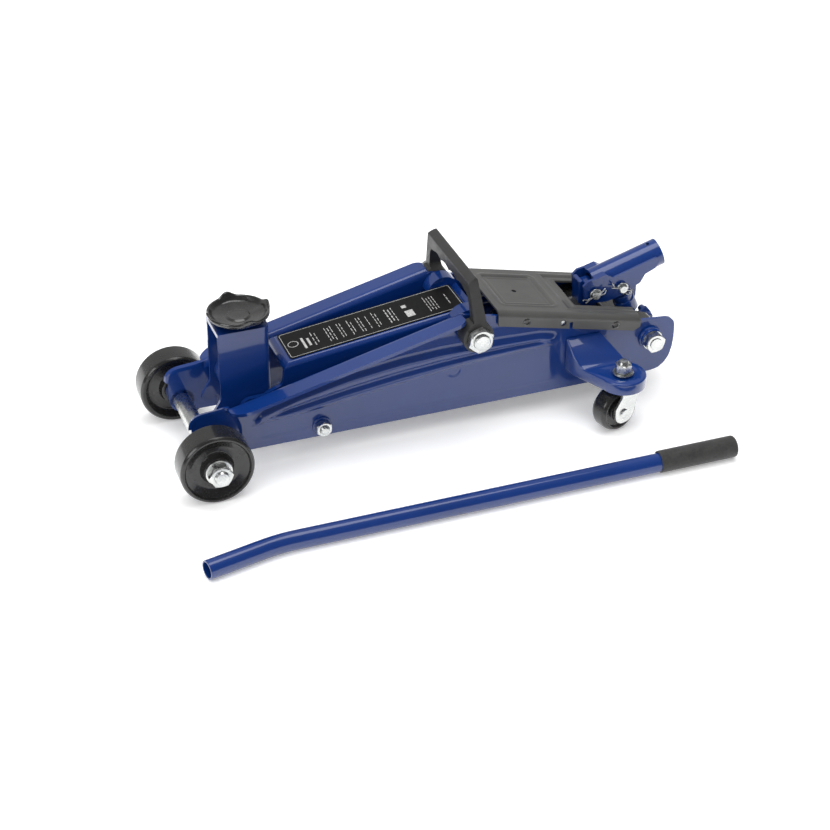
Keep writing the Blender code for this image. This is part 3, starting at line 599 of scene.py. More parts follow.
def side_plate(name, side):
    """One pressed sheet: the web with its ribs, folded outwards along its top."""
    bend = 2.5
    ends = [-11 + 1.2 * t * t / 10 for t in range(12)]
    middle = np.concatenate((
        np.arange(4, 20, 1.5), np.linspace(19.05, 32, 16), np.arange(33.5, 213, 1.9), np.linspace(213.5, 223, 14),
        np.arange(225, 405, 2.2),
    ))
    stations = sorted({*ends, *middle, *(421 - 1.1 * t * t / 10 for t in range(12))})
    rows = []
    for x in stations:
        low, top = interpolate(WEB_BOTTOM, x), interpolate(WEB_TOP, x)
        width = flange_width(x)
        under = FLANGE_Z0 + FLANGE_SLOPE * x - SHEET
        fold = min(width, 2 * bend) / (2 * bend)
        web_end = (under - bend) * fold + top * (1 - fold) if width > 0 else top
        row = []
        for z in np.linspace(low, web_end, 84):
            joggle = 1.0 * float(smooth(-x, -31 + (z - 45) * 0.35, -27 + (z - 45) * 0.35)) * (width == 0 or x < 30)
            row.append((x, side * (WEB_OUT - joggle + web_relief(x, z)), z))
        quarter = bend * math.pi / 2
        total = max(0.0, width - bend) + quarter if width > bend else width
        for step in range(1, 17):
            along = total * step / 16
            angle = min(along, quarter) / bend
            y = WEB_OUT + bend * (1 - math.cos(angle)) + max(0.0, along - quarter)
            z = web_end + bend * math.sin(angle)
            row.append((x, side * y, z))
        rows.append(row)
    mesh = grid_mesh(rows)
    bmesh.ops.remove_doubles(mesh, verts=mesh.verts, dist=0.02)
    obj = to_object(f"{name}_side_plate", mesh, 60)
    thick = obj.modifiers.new("sheet", "SOLIDIFY")
    thick.thickness = SHEET * MM
    thick.offset = -1.0
    applied(obj)
    bevel(obj, 0.5, 2, 50)
    finished(obj, BLUE, "chassis", f"side_plate_{name}", sharp=50)
    bolt_collar = [(5.3, 39, 0), (11, 39, 0), (11, 42.2, 0.8), (9.6, 42.4, 0.3), (9.6, 45, 0.8), (5.3, 45, 0)]
    bosses = (
        ("axle_boss", [(6.3, 36, 0), (10.5, 36, 0), (10.5, 53, 1.2), (6.3, 53, 0.5)], AXLE),
        ("tie_collar", [(4.3, 39, 0), (8.5, 39, 0), (8.5, 42, 1.0), (4.3, 42, 0)], TIE),
        ("bolt_collar", bolt_collar, REAR_BOLT),
        ("link_stud", [(0, 29.2, 0), (3.6, 29.2, 0), (4, 29.8, 0), (4, 38, 0), (0, 38, 0)], LINK_REAR),
    )
    for label, profile, at in bosses:
        lathe(f"{name}_{label}", rounded(profile, 4), (at.x, 0, at.z), OUT, BLUE, "chassis", sharp=40, side=side)


def wheel_hardware(name, side):
    node = f"axle_washer_{name}"
    face = reach(node)[0]
    washer = rounded([(6.3, face, 0.2), (11.3, face, 0.4), (11.3, face + 2, 0.5), (6.3, face + 2, 0.2)], 3)
    lathe(f"{name}_axle_washer", washer, (AXLE.x, 0, AXLE.z), OUT, ZINC, "chassis", node, sides=64, side=side)
    start = (AXLE.x, side * (face + 2.2), AXLE.z)
    hex_piece(f"{name}_axle_nut", start, (0, side, 0), 18.0, 7.2, ZINC, "chassis", f"axle_nut_{name}", bore=6.1)


def front_axle():
    wide, narrow = 7.5, 6.0
    end = node_box("front_axle")[1].y
    half = [(wide, 0), (wide, 35.9), (wide - 0.5, 36.4), (narrow, 36.5), (narrow, end - 10.5)]
    for i in range(6):
        along = end - 9.5 + 1.35 * i
        half += [(narrow - 0.45, along), (narrow - 0.02, along + 0.7)]
    half += [(narrow - 0.5, end - 1.2), (narrow * 0.85, end - 0.3), (0, end)]
    lathe("axle_bar", both_ways(half), (AXLE.x, 0, AXLE.z), OUT, ZINC, "chassis", "front_axle")


def cross_bolts():
    end = node_box("tie_bolt")[1].y
    half = [(3.9, 0), (3.9, 30)] + threaded(3.95, 30, end, 1.25, 0.9, 0.4)[2:]
    lathe("tie_rod", both_ways(half), (TIE.x, 0, TIE.z), OUT, ZINC, "chassis", "tie_bolt", sides=40)
    for name, side in SIDES.items():
        out = (0, side, 0)
        start = (TIE.x, side * 42.3, TIE.z)
        hex_piece(f"{name}_tie_nut", start, out, 12.5, 6.0, ZINC, "chassis", f"tie_nut_{name}", bore=4.2, spin=0.5)
        node = f"pivot_nut_{name}"
        start = (PIVOT.x, side * reach(node)[0], PIVOT.z)
        hex_piece(f"{name}_pivot_nut", start, out, 20.0, 6.4, ZINC, "chassis", node, bore=7.2, spin=0.35)
        inner, outer = reach(f"rear_bolt_{name}")
        start, at = (REAR_BOLT.x, side * (outer - 8.0), REAR_BOLT.z), (REAR_BOLT.x, 0, REAR_BOLT.z)
        shank = [(0, inner), (5, inner), (5, outer - 6), (0, outer - 6)]
        washer = [(0, outer - 8.0), (9.0, outer - 8.0), (9.2, outer - 7.4), (0, outer - 7.2)]
        crown = [(0, outer - 3), (5.6, outer - 3), (5.6, outer - 0.6), (5.0, outer - 0.1), (0, outer)]
        join = (turned(shank, at, out, 40), turned(washer, at, out, 56), turned(crown, at, out, 48))
        hex_piece(f"{name}_rear_bolt", start, out, 16.5, 7.2, ZINC, "chassis", f"rear_bolt_{name}", join=join, spin=0.2)
    end = node_box("pivot_shaft")[1].y
    groove = [(7.0, end - 3.2), (6.75, end - 3.0), (6.75, end - 2.6), (7.0, end - 2.4)]
    half = [(7.0, 0)] + groove + [(7.0, end - 1.0), (6.2, end - 0.2), (0, end)]
    lathe("main_pivot_shaft", both_ways(half), (PIVOT.x, 0, PIVOT.z), OUT, ZINC, "chassis", "pivot_shaft")


def caster_bracket(name, side):
    """A pressed cap welded to the side plate: sloping gusset, round shelf, skirt and a dished seat."""
    low = node_box(f"caster_bracket_{name}")[0]
    pin = centre(f"caster_nut_{name}")
    cx, cy = pin.x, abs(pin.y)
    root, floor, shelf, tip = 40.3, low.z + 2.0, 50.0, 20.0

    def plan(inset):
        ring = disc(cx, cy, tip - inset, 40, -0.55, math.pi * 0.94)
        return [(low.x + inset, root - inset), (low.x + 32 - inset, root - inset)] + ring + [(low.x + 2 + inset, 54)]

    def section(drop):
        top = shelf - drop
        return rounded([(root - 3, 73 - drop, 0), (62, top, 9), (112, top, 0), (112, 10, 0), (root - 3, 10, 0)], 6)

    outer = to_object(f"{name}_bracket", mirrored(prism(plan(0), floor, 90, "z"), side))
    boolean(outer, mirrored(prism(section(0), 300, 400, "x"), side), "INTERSECT")
    boolean(outer, mirrored(box(300, 400, 30, root, 0, 100), side), "DIFFERENCE")
    bevel(outer, 1.5, 4, 30)
    applied(outer)
    inner = to_object(f"{name}_bracket_core", mirrored(prism(plan(2.6), floor - 5, 90, "z"), side))
    boolean(inner, mirrored(prism(section(2.6), 300, 400, "x"), side), "INTERSECT")
    step = outer.modifiers.new("hollow", "BOOLEAN")
    step.operation = "DIFFERENCE"
    step.object = inner
    applied(outer)
    bpy.data.objects.remove(inner)
    dish = [(0, 0), (9.5, 0), (11.0, 0.35), (13.6, 1.7), (14.6, 2.6), (14.6, 8), (0, 8)]
    boolean(outer, turned(dish, (cx, side * cy, shelf - 1.25), UP, 56), "DIFFERENCE")
    finished(outer, BLUE, "chassis", f"caster_bracket_{name}", sharp=32)


def frame_pieces():
    for name, side in SIDES.items():
        side_plate(name, side)
        wheel_hardware(name, side)
        caster_bracket(name, side)
    front_axle()
    cross_bolts()


# ---- cover ----


def ridge(value, at, width):
    return math.exp(-(((value - at) / width) ** 2))


def cover_relief(x, y):
    """The cover's pressing: a sunk panel with a beaded edge, a cross rib and a sunk strip by the slot."""
    away = abs(y)
    inside = min(x - 263.5, 313.0 - x, 28.0 - away)
    corner = math.hypot(max(0.0, 268 - x if x < 290 else x - 308.5), max(0.0, away - 23.5))
    inside = min(inside, 4.5 - corner) if corner > 0 else inside
    panel = -1.0 * float(smooth(inside, 0.0, 2.2))
    bead = 0.55 * ridge(inside, -0.8, 1.2) + 0.45 * ridge(inside, 4.4, 0.9)
    rear = min(x - 322.5, 32.0 - away)
    strip = -1.1 * float(smooth(rear, 0.0, 2.5))
    lip = 0.5 * ridge(rear, -0.7, 1.0)
    slot = min(x - 332.5, 23.5 - away)
    edge = 0.9 * ridge(slot, -1.2, 1.1)
    return panel + bead + strip + lip + edge


def cover_piece():
    x0, x1 = COVER_LOW.x + 0.4, COVER_HIGH.x - 0.4
    half, drop, bend = COVER_HIGH.y - 0.05, 12.0, 4.0
    rows = []
    for x in np.linspace(x0, x1, 128):
        top = COVER_Z0 + COVER_SLOPE * x
        foot = drop - 0.1
        flank = [(-half, -foot + (foot - bend) * i / 6) for i in range(7)]
        angles = np.linspace(0.12, math.pi / 2, 8)
        turn = [(bend - half - bend * math.cos(a), bend * math.sin(a) - bend) for a in angles]
        flat = [(y, cover_relief(x, y)) for y in np.linspace(-half + bend + 0.7, 0, 62)]
        side = flank + turn + flat
        whole = side + [(-y, dz) for y, dz in reversed(side[:-1])]
        rows.append([(x, y, top + dz) for y, dz in whole])
    obj = to_object("top_cover", grid_mesh(rows), 60)
    thick = obj.modifiers.new("sheet", "SOLIDIFY")
    thick.thickness = 1.5 * MM
    thick.offset = 1.0
    applied(obj)
    slot = rounded([(333, -23, 3), (400, -23, 0), (400, 23, 0), (333, 23, 3)])
    boolean(obj, prism(slot, 40, 140, "z"), "DIFFERENCE")
    boolean(obj, prism(disc(286, 0, 2.2, 24), 60, 140, "z"), "DIFFERENCE")
    corner = COVER_Z0 + COVER_SLOPE * COVER_HIGH.x
    trim = rounded([
        (376, corner - 16, 0), (395, corner - 16, 0), (395, corner - 4, 0), (387.2, corner - 4, 0),
        (386.6, corner - 7.6, 3), (379, corner - 10.8, 4),
    ])
    notch_x, hole_x = 319.5, 314.0
    notch_z, hole_z = COVER_Z0 + COVER_SLOPE * notch_x, COVER_Z0 + COVER_SLOPE * hole_x - 6.8
    pin = [(0, 38.5), (2.1, 38.5), (2.2, 41.4), (1.6, 42.0), (0, 42.2)]
    for name, side in SIDES.items():
        boolean(obj, mirrored(prism(trim, 38, 48, "y"), side), "DIFFERENCE")
        boolean(obj, mirrored(box(notch_x, notch_x + 3.2, 38, 48, notch_z - 20, notch_z - 6.0), side), "DIFFERENCE")
        boolean(obj, mirrored(cutter(hole_x, hole_z, 38, 48, 2.7, 24), side), "DIFFERENCE")
        lathe(f"{name}_cover_pin", pin, (hole_x, 0, hole_z), OUT, ZINC, "chassis", sides=24, side=side)
    finished(obj, BLACK, "chassis", "cover", sharp=40)
    for number in range(1, 5):
        node = f"cover_screw_{number}"
        at, outer = centre(node), reach(node)[1]
        head = [(0, 37), (2.0, 37), (2.0, outer - 1.7), (3.8, outer - 1.7), (4.0, outer - 1.0), (3.5, outer - 0.2),
                (2.2, outer + 0.4), (1.8, outer + 0.4), (1.5, outer - 1.0), (0, outer - 1.0)]
        name, side = f"flange_screw_{number}", -1 if at.y < 0 else 1
        lathe(name, head, (at.x, 0, at.z), OUT, IRON, "chassis", node, sides=40, side=side)


# ---- lifting gear ----


def arm_top(x):
    return ARM_TOP_Z0 + ARM_TOP_SLOPE * x


def lift_arm_pieces():
    px, pz = PIVOT.x, PIVOT.z
    fx, fz = FRONT_PIN.x, FRONT_PIN.z
    cx, cz = CROSSHEAD.x, CROSSHEAD.z
    outline = arc(fx, fz, 11.0, 28, 105, 285)
    outline += [(92, 47.5), (190, 62), (214, 66)]
    outline += arc(cx, cz, 11.0, 24, 200, 370)
    outline += arc(px, pz, 13.5, 10, -10, 40)
    back = [(240, arm_top(240), 7), (74, arm_top(74), 9), (71.5, 66, 5), (58, 61, 12)]
    outline += rounded([(px, pz, 0), *back, (fx, fz, 0)])[1:-1]
    section = rounded([(-24, -140, 0), (24, -140, 0), (24, 0, 5), (-24, 0, 5)], 8)
    crown = sheared(prism(section, 20, 300, "x"), ARM_TOP_Z0, ARM_TOP_SLOPE)
    pocket = [(20, 20), (20, 75), (66, 75), (77, arm_top(77) - 4.5), (205, arm_top(205) - 4), (210, 87)]
    pocket += [(280, 87), (280, 20)]
    hub = arc(px, pz, 15.0, 28, 8, 172)
    obj = to_object("arm_channel", prism(outline, -24, 24, "y"))
    boolean(obj, crown, "INTERSECT")
    for side in SIDES.values():
        boolean(obj, prism(hub, side * 23.0, side * 36.2, "y"), "UNION")
    boolean(obj, across(px, pz, -28, 28, 8.55, 40, 0.2), "UNION")
    boolean(obj, prism(pocket, -20, 20, "y"), "DIFFERENCE")
    for x, z, radius in ((px, pz, 7.25), (fx, fz, 6.2), (cx, cz, 6.2)):
        boolean(obj, cutter(x, z, -50, 50, radius), "DIFFERENCE")
    edged(obj, 30)
    bevel(obj, 1.0, 3, 35)
    finished(obj, BLUE, "lift_arm", "lift_arm")
    ring = [(12.2, 35.2), (12.2, 36.1), (11.4, 36.15), (8.6, 35.2), (8.6, 34.0), (12.2, 34.0)]
    half_disc = arc(px, pz, 14.0, 28, 14, 166)
    for name, side in SIDES.items():
        obj = to_object(f"{name}_hub_ring", mirrored(turned(ring, (px, 0, pz), OUT, 56), side))
        boolean(obj, mirrored(prism(half_disc, 30, 40, "y"), side), "INTERSECT")
        finished(obj, BLUE, "lift_arm", sharp=30)
    for name, x, z, half, material, node in (
        ("crosshead", cx, cz, 26.0, STEEL, "crosshead_pin"), ("saddle_bracket_pin", fx, fz, 27.0, ZINC, "front_pin"),
    ):
        piece(name, across(x, z, -half, half, 6.0, 48, 0.8), material, "lift_arm", node)


def label_pieces():
    """The plate on the arm, with a thin pale line round it and plain bars where print would be."""
    low, high = node_box("arm_label")
    thick, under, over = 0.5, 0.48, 0.53
    x0, x1, half = low.x, high.x, high.y
    base = ARM_TOP_Z0 + 0.28

    def plate(inset, radius):
        u0, u1, v = x0 + inset, x1 - inset, half - inset
        return rounded([(u0, -v, radius), (u1, -v, radius), (u1, v, radius), (u0, v, radius)], 6)

    def strip(u0, u1, v0, v1):
        prism([(u0, v0), (u1, v0), (u1, v1), (u0, v1)], under, over, "z", printed)

    mesh = sheared(prism(plate(0, 3), 0, thick, "z"), base, ARM_TOP_SLOPE)
    finished(bevel(to_object("arm_plate", mesh), 0.12, 2), FILM, "lift_arm", "arm_label")
    printed = bmesh.new()
    low_out, low_in, top_out, top_in = (
        [printed.verts.new((u, v, w)) for u, v in outline]
        for w in (under, over) for outline in (plate(1.3, 2.4), plate(1.75, 2.0))
    )
    for first, second in ((top_out, top_in), (low_out, low_in), (low_out, top_out), (low_in, top_in)):
        bridge(printed, first, second)
    # Bars run across the plate: (distance from the front end, bar width, half reach, pieces).
    bars = [(16, 2.0, 11.5, 1), (20.5, 2.0, 9.0, 1), (25.5, 0.7, 11.0, 3), (28.5, 0.7, 8.0, 3),
            (38, 0.6, 12.0, 4), (40.5, 0.6, 10.0, 3), (43, 0.6, 12.5, 4), (49, 0.6, 12.0, 5), (51.5, 0.6, 11.0, 4),
            (58, 0.6, 12.5, 4), (60.5, 0.6, 9.0, 3), (66, 0.6, 12.0, 5), (68.5, 0.6, 12.5, 4), (74, 0.6, 11.0, 4),
            (80, 0.6, 12.5, 5), (82.5, 0.6, 10.0, 3), (91, 1.0, 12.0, 5), (94, 1.0, 10.0, 4), (97, 0.6, 12.0, 5),
            (126, 0.6, 12.5, 5), (128.5, 0.6, 10.5, 4), (131, 0.6, 12.0, 4), (133.5, 0.6, 11.0, 5), (144, 0.8, 9.0, 3)]
    for at, width, reach, parts in bars:
        for part in range(parts):
            room = 2 * reach / parts
            start = -reach + room * part
            shrink = 0.82 - 0.16 * ((part * 7 + int(at)) % 3) / 2
            strip(x0 + at, x0 + at + width, start, start + room * shrink)
    strip(x0 + 106, x0 + 113, -11.0, -1.0)
    strip(x0 + 106, x0 + 110, 4.0, 8.5)
    piece("arm_plate_print", sheared(printed, base, ARM_TOP_SLOPE), PRINT, "lift_arm")
    emblem = turned([(4.6, under), (4.6, over), (3.9, over), (3.9, under)], (x0 + 8.5, 0, 0), UP, 40)
    piece("arm_plate_ring", sheared(emblem, base, ARM_TOP_SLOPE), PRINT, "lift_arm")


def saddle_bracket_pieces():
    high = node_box("saddle_bracket")[1]
    x0, x1, top, half, sheet = 20.4, 64.0, high.z, high.y, 3.0
    fx, fz = FRONT_PIN.x, FRONT_PIN.z
    lx, lz = LINK_PIN.x, LINK_PIN.z
    side_view = rounded([(x0, top, 0), (x0, 59, 8), (13, 47, 3), (12, 41, 3), (24, 36.5, 6)])
    side_view += arc(lx, lz, 9.0, 20, 200, 350)
    side_view += arc(fx, fz, 12.0, 12, -60, -10)
    side_view += [(x1, 62), (x1, top)]
    plan = rounded([(0, -half, 0), (x1, -half, 5), (x1, half, 5), (0, half, 0)])
    x2, within = x1 - sheet, half - sheet
    inner = rounded([(-5, -within, 0), (x2, -within, 2.2), (x2, within, 2.2), (-5, within, 0)])
    cuts = [prism(inner, 0, top - 4.0, "z")]
    cuts += [cutter(fx, fz, -30, 30, 6.2), cutter(lx, lz, -30, 30, 4.2)]
    cuts.append(turned([(0, 0), (9.35, 0), (9.35, 40), (0, 40)], (SADDLE.x, 0, 90), UP, 48))
    solid("saddle_column", prism(side_view, -half, half, "y"), BLUE, "saddle_bracket", "saddle_bracket",
          keep=[prism(plan, 0, 200, "z")], cut=cuts, edge=0.7)
    web = rounded([(33, 118, 0), (33, 92, 4), (24, 70, 6), (24, 66, 0), (27, 66, 0), (36, 90, 6), (36, 118, 0)])
    solid("column_inner_web", prism(web, -within + 0.1, within - 0.1, "y"), BLUE, "saddle_bracket",
          cut=[turned([(0, 0), (12.8, 0), (12.8, 70), (0, 70)], (SADDLE.x, 0, 55), UP, 48)], edge=0.5)
    low, high = node_box("saddle_nut")
    nut = rounded([(9.35, low.z, 0.4), (13.5, low.z, 0.4), (13.5, high.z, 0.4), (9.35, high.z, 0.4)], 3)
    lathe("column_nut", nut, (SADDLE.x, 0, 0), UP, STEEL, "saddle_bracket", "saddle_nut")
    low, high = node_box("link_pin_front")
    mesh = across(lx, lz, low.y, high.y, 4.0, 40, 0.6)
    piece("front_link_pin", mesh, ZINC, "saddle_bracket", "link_pin_front")


def saddle_pieces():
    def lugs(radius, along, angle):
        lug = max(0.0, math.cos(4 * (angle - 0.09))) ** 2.5
        rim = min(1.0, max(0.0, (radius - 17.0) / 8.0)) * min(1.0, max(0.0, (along - 3.0) / 6.0))
        swell = math.sin(3 * angle + 0.7) * 0.15 + math.sin(7 * angle) * 0.1
        return radius + rim * (1.1 * lug - 1.1) + swell * rim, along + rim * (3.3 * lug - 0.9)

    cup = rounded([
        (0, 0.6, 0), (9.3, 0.6, 0), (11.5, 0.0, 1.5), (19, 1.2, 5), (26.2, 6.0, 3), (27.2, 8.8, 1.3), (26.4, 10.2, 0.6),
        (24.9, 9.6, 0.8), (21.4, 5.4, 4), (10.4, 3.4, 1.5), (8.4, 4.6, 0.8), (6.6, 4.4, 0.5), (0, 4.2, 0),
    ], 4)
    at = (SADDLE.x, 0, node_box("saddle")[0].z)
    lathe("saddle_cup", cup, at, UP, IRON, "saddle", "saddle", sides=144, sharp=45, wobble=lugs)
    low, high = node_box("saddle_screw")
    radius, root, pitch = 9.0, 8.1, 4.0
    profile = [(0, low.z), (8.0, low.z), (8.6, low.z + 0.8)]
    along = low.z + 5
    while along < high.z - 6:
        profile += [(radius, along), (radius, along + 1.5), (root, along + 2.1), (root, along + 3.4)]
        along += pitch
    profile += [(radius, high.z - 3.2), (0, high.z - 3.2)]
    lathe("saddle_spindle", profile, (SADDLE.x, 0, 0), UP, STEEL, "saddle", "saddle_screw")


def linkage_pieces():
    low, high = node_box("link_right")
    rear, front = LINK_REAR, LINK_PIN
    slope = math.atan2(rear.z - front.z, rear.x - front.x)
    outline = disc(rear.x, rear.z, 7.5, 20, slope - math.pi / 2, slope + math.pi / 2)
    outline += disc(front.x, front.z, 7.5, 20, slope + math.pi / 2, slope + 1.5 * math.pi)
    for name, side in SIDES.items():
        solid(f"{name}_link_bar", mirrored(prism(outline, low.y, high.y, "y"), side), BLUE, "links", f"link_{name}",
              cut=[cutter(rear.x, rear.z, -40, 40, 4.2), cutter(front.x, front.z, -40, 40, 4.2)], edge=0.5)
    low, high = node_box("ram")
    profile = capped([(15.9, 0, 1.0), (15.9, 8.1, 0.6), (11.0, 8.1, 0.4), (11.0, high.x - low.x, 0.5)])
    lathe("ram_rod", profile, (low.x, 0, (low.z + high.z) / 2), (1, 0, 0), STEEL, "ram", "ram", sides=64)


# ---- wheels ----


def front_wheel_pieces():
    for name, side in SIDES.items():
        node = f"front_wheel_{name}"
        low, high = node_box(node)
        inner, outer = reach(node)
        r = (high.z - low.z) / 2
        profile = rounded([
            (6.25, inner, 0.4), (13, inner, 1.0), (14.2, inner + 6, 1.5), (23.6, inner + 7.5, 2),
            (26.6, inner + 0.8, 1.0), (r - 1.6, inner + 0.4, 1.0), (r, inner + 2.6, 2.2), (r, outer - 2.6, 2.2),
            (r - 1.5, outer - 0.5, 0.8), (r - 3.2, outer - 0.7, 0.6), (r - 4.4, outer - 3.2, 1.6),
            (20.0, outer - 6.6, 6.0), (14.2, outer - 6.4, 2.2), (12.4, outer - 3.0, 1.2), (11.6, outer - 0.2, 0.8),
            (6.25, outer, 0.3),
        ], 5)
        at = (AXLE.x, 0, AXLE.z)
        lathe(f"{name}_front_wheel", profile, at, OUT, WHEEL, node, node, sides=112, sharp=40, side=side)


def caster_pieces():
    for name in SIDES:
        home = f"caster_{name}"
        nut = centre(f"caster_nut_{name}")
        wheel = centre(f"caster_wheel_{name}")
        trail = Vector((nut.x - wheel.x, nut.y - wheel.y))
        swivel = Matrix.Rotation(math.atan2(trail.y, trail.x), 4, "Z")
        spin = Matrix.Translation((nut.x, nut.y, 0)) @ swivel
        at, back, r = (nut.x, nut.y, 0), trail.length, wheel.z

        def swung(mesh):
            bmesh.ops.transform(mesh, matrix=spin, verts=mesh.verts)
            return mesh

        leg = rounded([
            (-10, 43, 0), (-10, 35, 5), (-back - 9.4, 25, 4), (-back - 9.4, 9.6, 9.3), (-back + 9.4, 9.6, 9.3),
            (10, 43, 0),
        ], 8)
        crown = rounded([(-13, -12.6, 9), (13, -12.6, 9), (13, 12.6, 9), (-13, 12.6, 9)], 8)
        legs = [swung(prism(leg, low, high, "y")) for low, high in ((10.2, 12.6), (-12.6, -10.2))]
        solid(f"{name}_caster_fork", swung(prism(crown, 41.0, 43.4, "z")), ZINC, home, f"caster_fork_{name}",
              join=legs, edge=0.7, sharp=30, angle=35)
        race = [(5.2, 43.6), (12.8, 43.6), (13.2, 44.6), (12.0, 46.2), (5.2, 46.2)]
        lathe(f"{name}_caster_race", race, at, UP, ZINC, home)
        stud = threaded(4.9, 42, node_box(f"caster_fork_{name}")[1].z, 1.25, 1.4, 0.4)
        lathe(f"{name}_caster_stud", stud, at, UP, ZINC, home, sides=40)
        rivet = swung(across(-back, r, -14.2, 14.2, 4.1, 40, 0.8))
        piece(f"{name}_caster_rivet", rivet, ZINC, home)
        low, high = node_box(f"caster_nut_{name}")
        z = low.z
        collar = [(5.2, z - 0.1), (8.8, z - 0.1), (9.0, z + 0.6), (8.5, z + 1.2), (5.2, z + 1.2)]
        lathe(f"{name}_caster_washer", collar, at, UP, ZINC, home)
        start = Vector((nut.x, nut.y, z + 1.4))
        hex_piece(f"{name}_caster_nut", start, UP, 12.8, high.z - start.z, ZINC, home, f"caster_nut_{name}",
                  bore=5.0, spin=0.3)
        half = [(r, 5.2, 4.5), (17.0, 8.5, 0.8), (15.4, 8.3, 0.8), (14.0, 6.2, 1.2), (8.8, 6.4, 0.8), (8.2, 9.1, 0.6),
                (4.2, 9.1, 0.3)]
        profile = rounded([(u, -v, soften) for u, v, soften in reversed(half)] + half, 5)
        mesh = swung(turned(profile, (-back, 0, r), OUT, 88))
        piece(f"{name}_caster_wheel", mesh, WHEEL, f"caster_wheel_{name}", f"caster_wheel_{name}", sharp=40)


# ---- socket, pump and valve ----


def socket_pieces():
    """A folded sheet: a tube round the lever, opening below into two cheeks that hold the pins."""
    tube_r, bore, length, outer, inner = 12.0, 9.6, 66.0, 13.0, 10.4
    cheek = rounded([
        (347, 82.5, 4), (345.0, 99.2, 2), (349.6, 103.6, 1.5), (357, 105.0, 2), (366, 107.6, 2), (373, 103.6, 3),
        (413.6, 116.0, 2), (416.4, 110.6, 2.5), (413.0, 105.4, 3), (403.4, 101.2, 4), (399, 93.4, 4), (389, 89, 3),
        (381, 84, 6), (368, 81, 6),
    ], 8)
    between = [(330, 60), (330, 120), (354, 120), (357, 95), (396, 107), (396, 60)]
    tube = [(0, 0), (tube_r, 0), (tube_r, length), (0, length)]
    hollow = [(0, -5), (bore, -5), (bore, length + 5), (0, length + 5)]
    hole = [(0, 0), (2.0, 0), (2.0, 20), (0, 20)]
    cuts = [turned(hollow, SOCKET_MOUTH, SOCKET_IN, 96), prism(between, -inner, inner, "y")]
    cuts += [cutter(at.x, at.z, -40, 40, 4.2) for at in (SOCKET_PIN, PLUNGER_PIN)]
    cuts.append(turned(hole, SOCKET_MOUTH + SOCKET_IN * 8, SOCKET_UP, 24))
    solid("socket_shell", prism(cheek, -outer, outer, "y"), BLUE, "handle_socket", "handle_socket",
          join=[turned(tube, SOCKET_MOUTH, SOCKET_IN, 96)], cut=cuts, edge=0.9, sharp=30, angle=28)
    # Each pin has a spring clip: a bow round the pin that goes on as one leg, and a straight leg.
    bow = [(9.8, -0.8), (8.0, -3.6)] + disc(0, 0, 4.9, 13, -0.7, math.pi + 0.2)
    bow += [(-8.4, -1.6), (-10.5, 0.4), (-12.5, 0.8)]
    straight = [(-11.0, -2.8), (-6, -1.2), (0.0, -0.4), (6.5, 0.4), (9.6, 2.2)]
    for node, at, tilt in (("socket_pin", SOCKET_PIN, 0.35), ("plunger_pin", PLUNGER_PIN, -0.5)):
        low, high = node_box(node)
        y0, y1 = low.y, high.y
        shank = [(0, y0), (3.2, y0), (4.0, y0 + 0.8), (4.0, y1 - 2.0)]
        shank += [(6.0, y1 - 2.0), (6.0, y1 - 0.5), (5.4, y1), (0, y1)]
        name = node.replace("_pin", "_bolt")
        lathe(name, shank, (at.x, 0, at.z), OUT, ZINC, "handle_socket", node, sides=40)
        c, s = math.cos(tilt), math.sin(tilt)
        for part, route, y, nodes in (("bow", bow, y0 + 3.0, [f"{node}_clip"]), ("leg", straight, y0 + 2.0, [])):
            wire = swept([(at.x + u * c - v * s, y, at.z + u * s + v * c) for u, v in route], 0.7, 12)
            piece(f"{node}_clip_{part}", wire, ZINC, "handle_socket", *nodes, sharp=60)


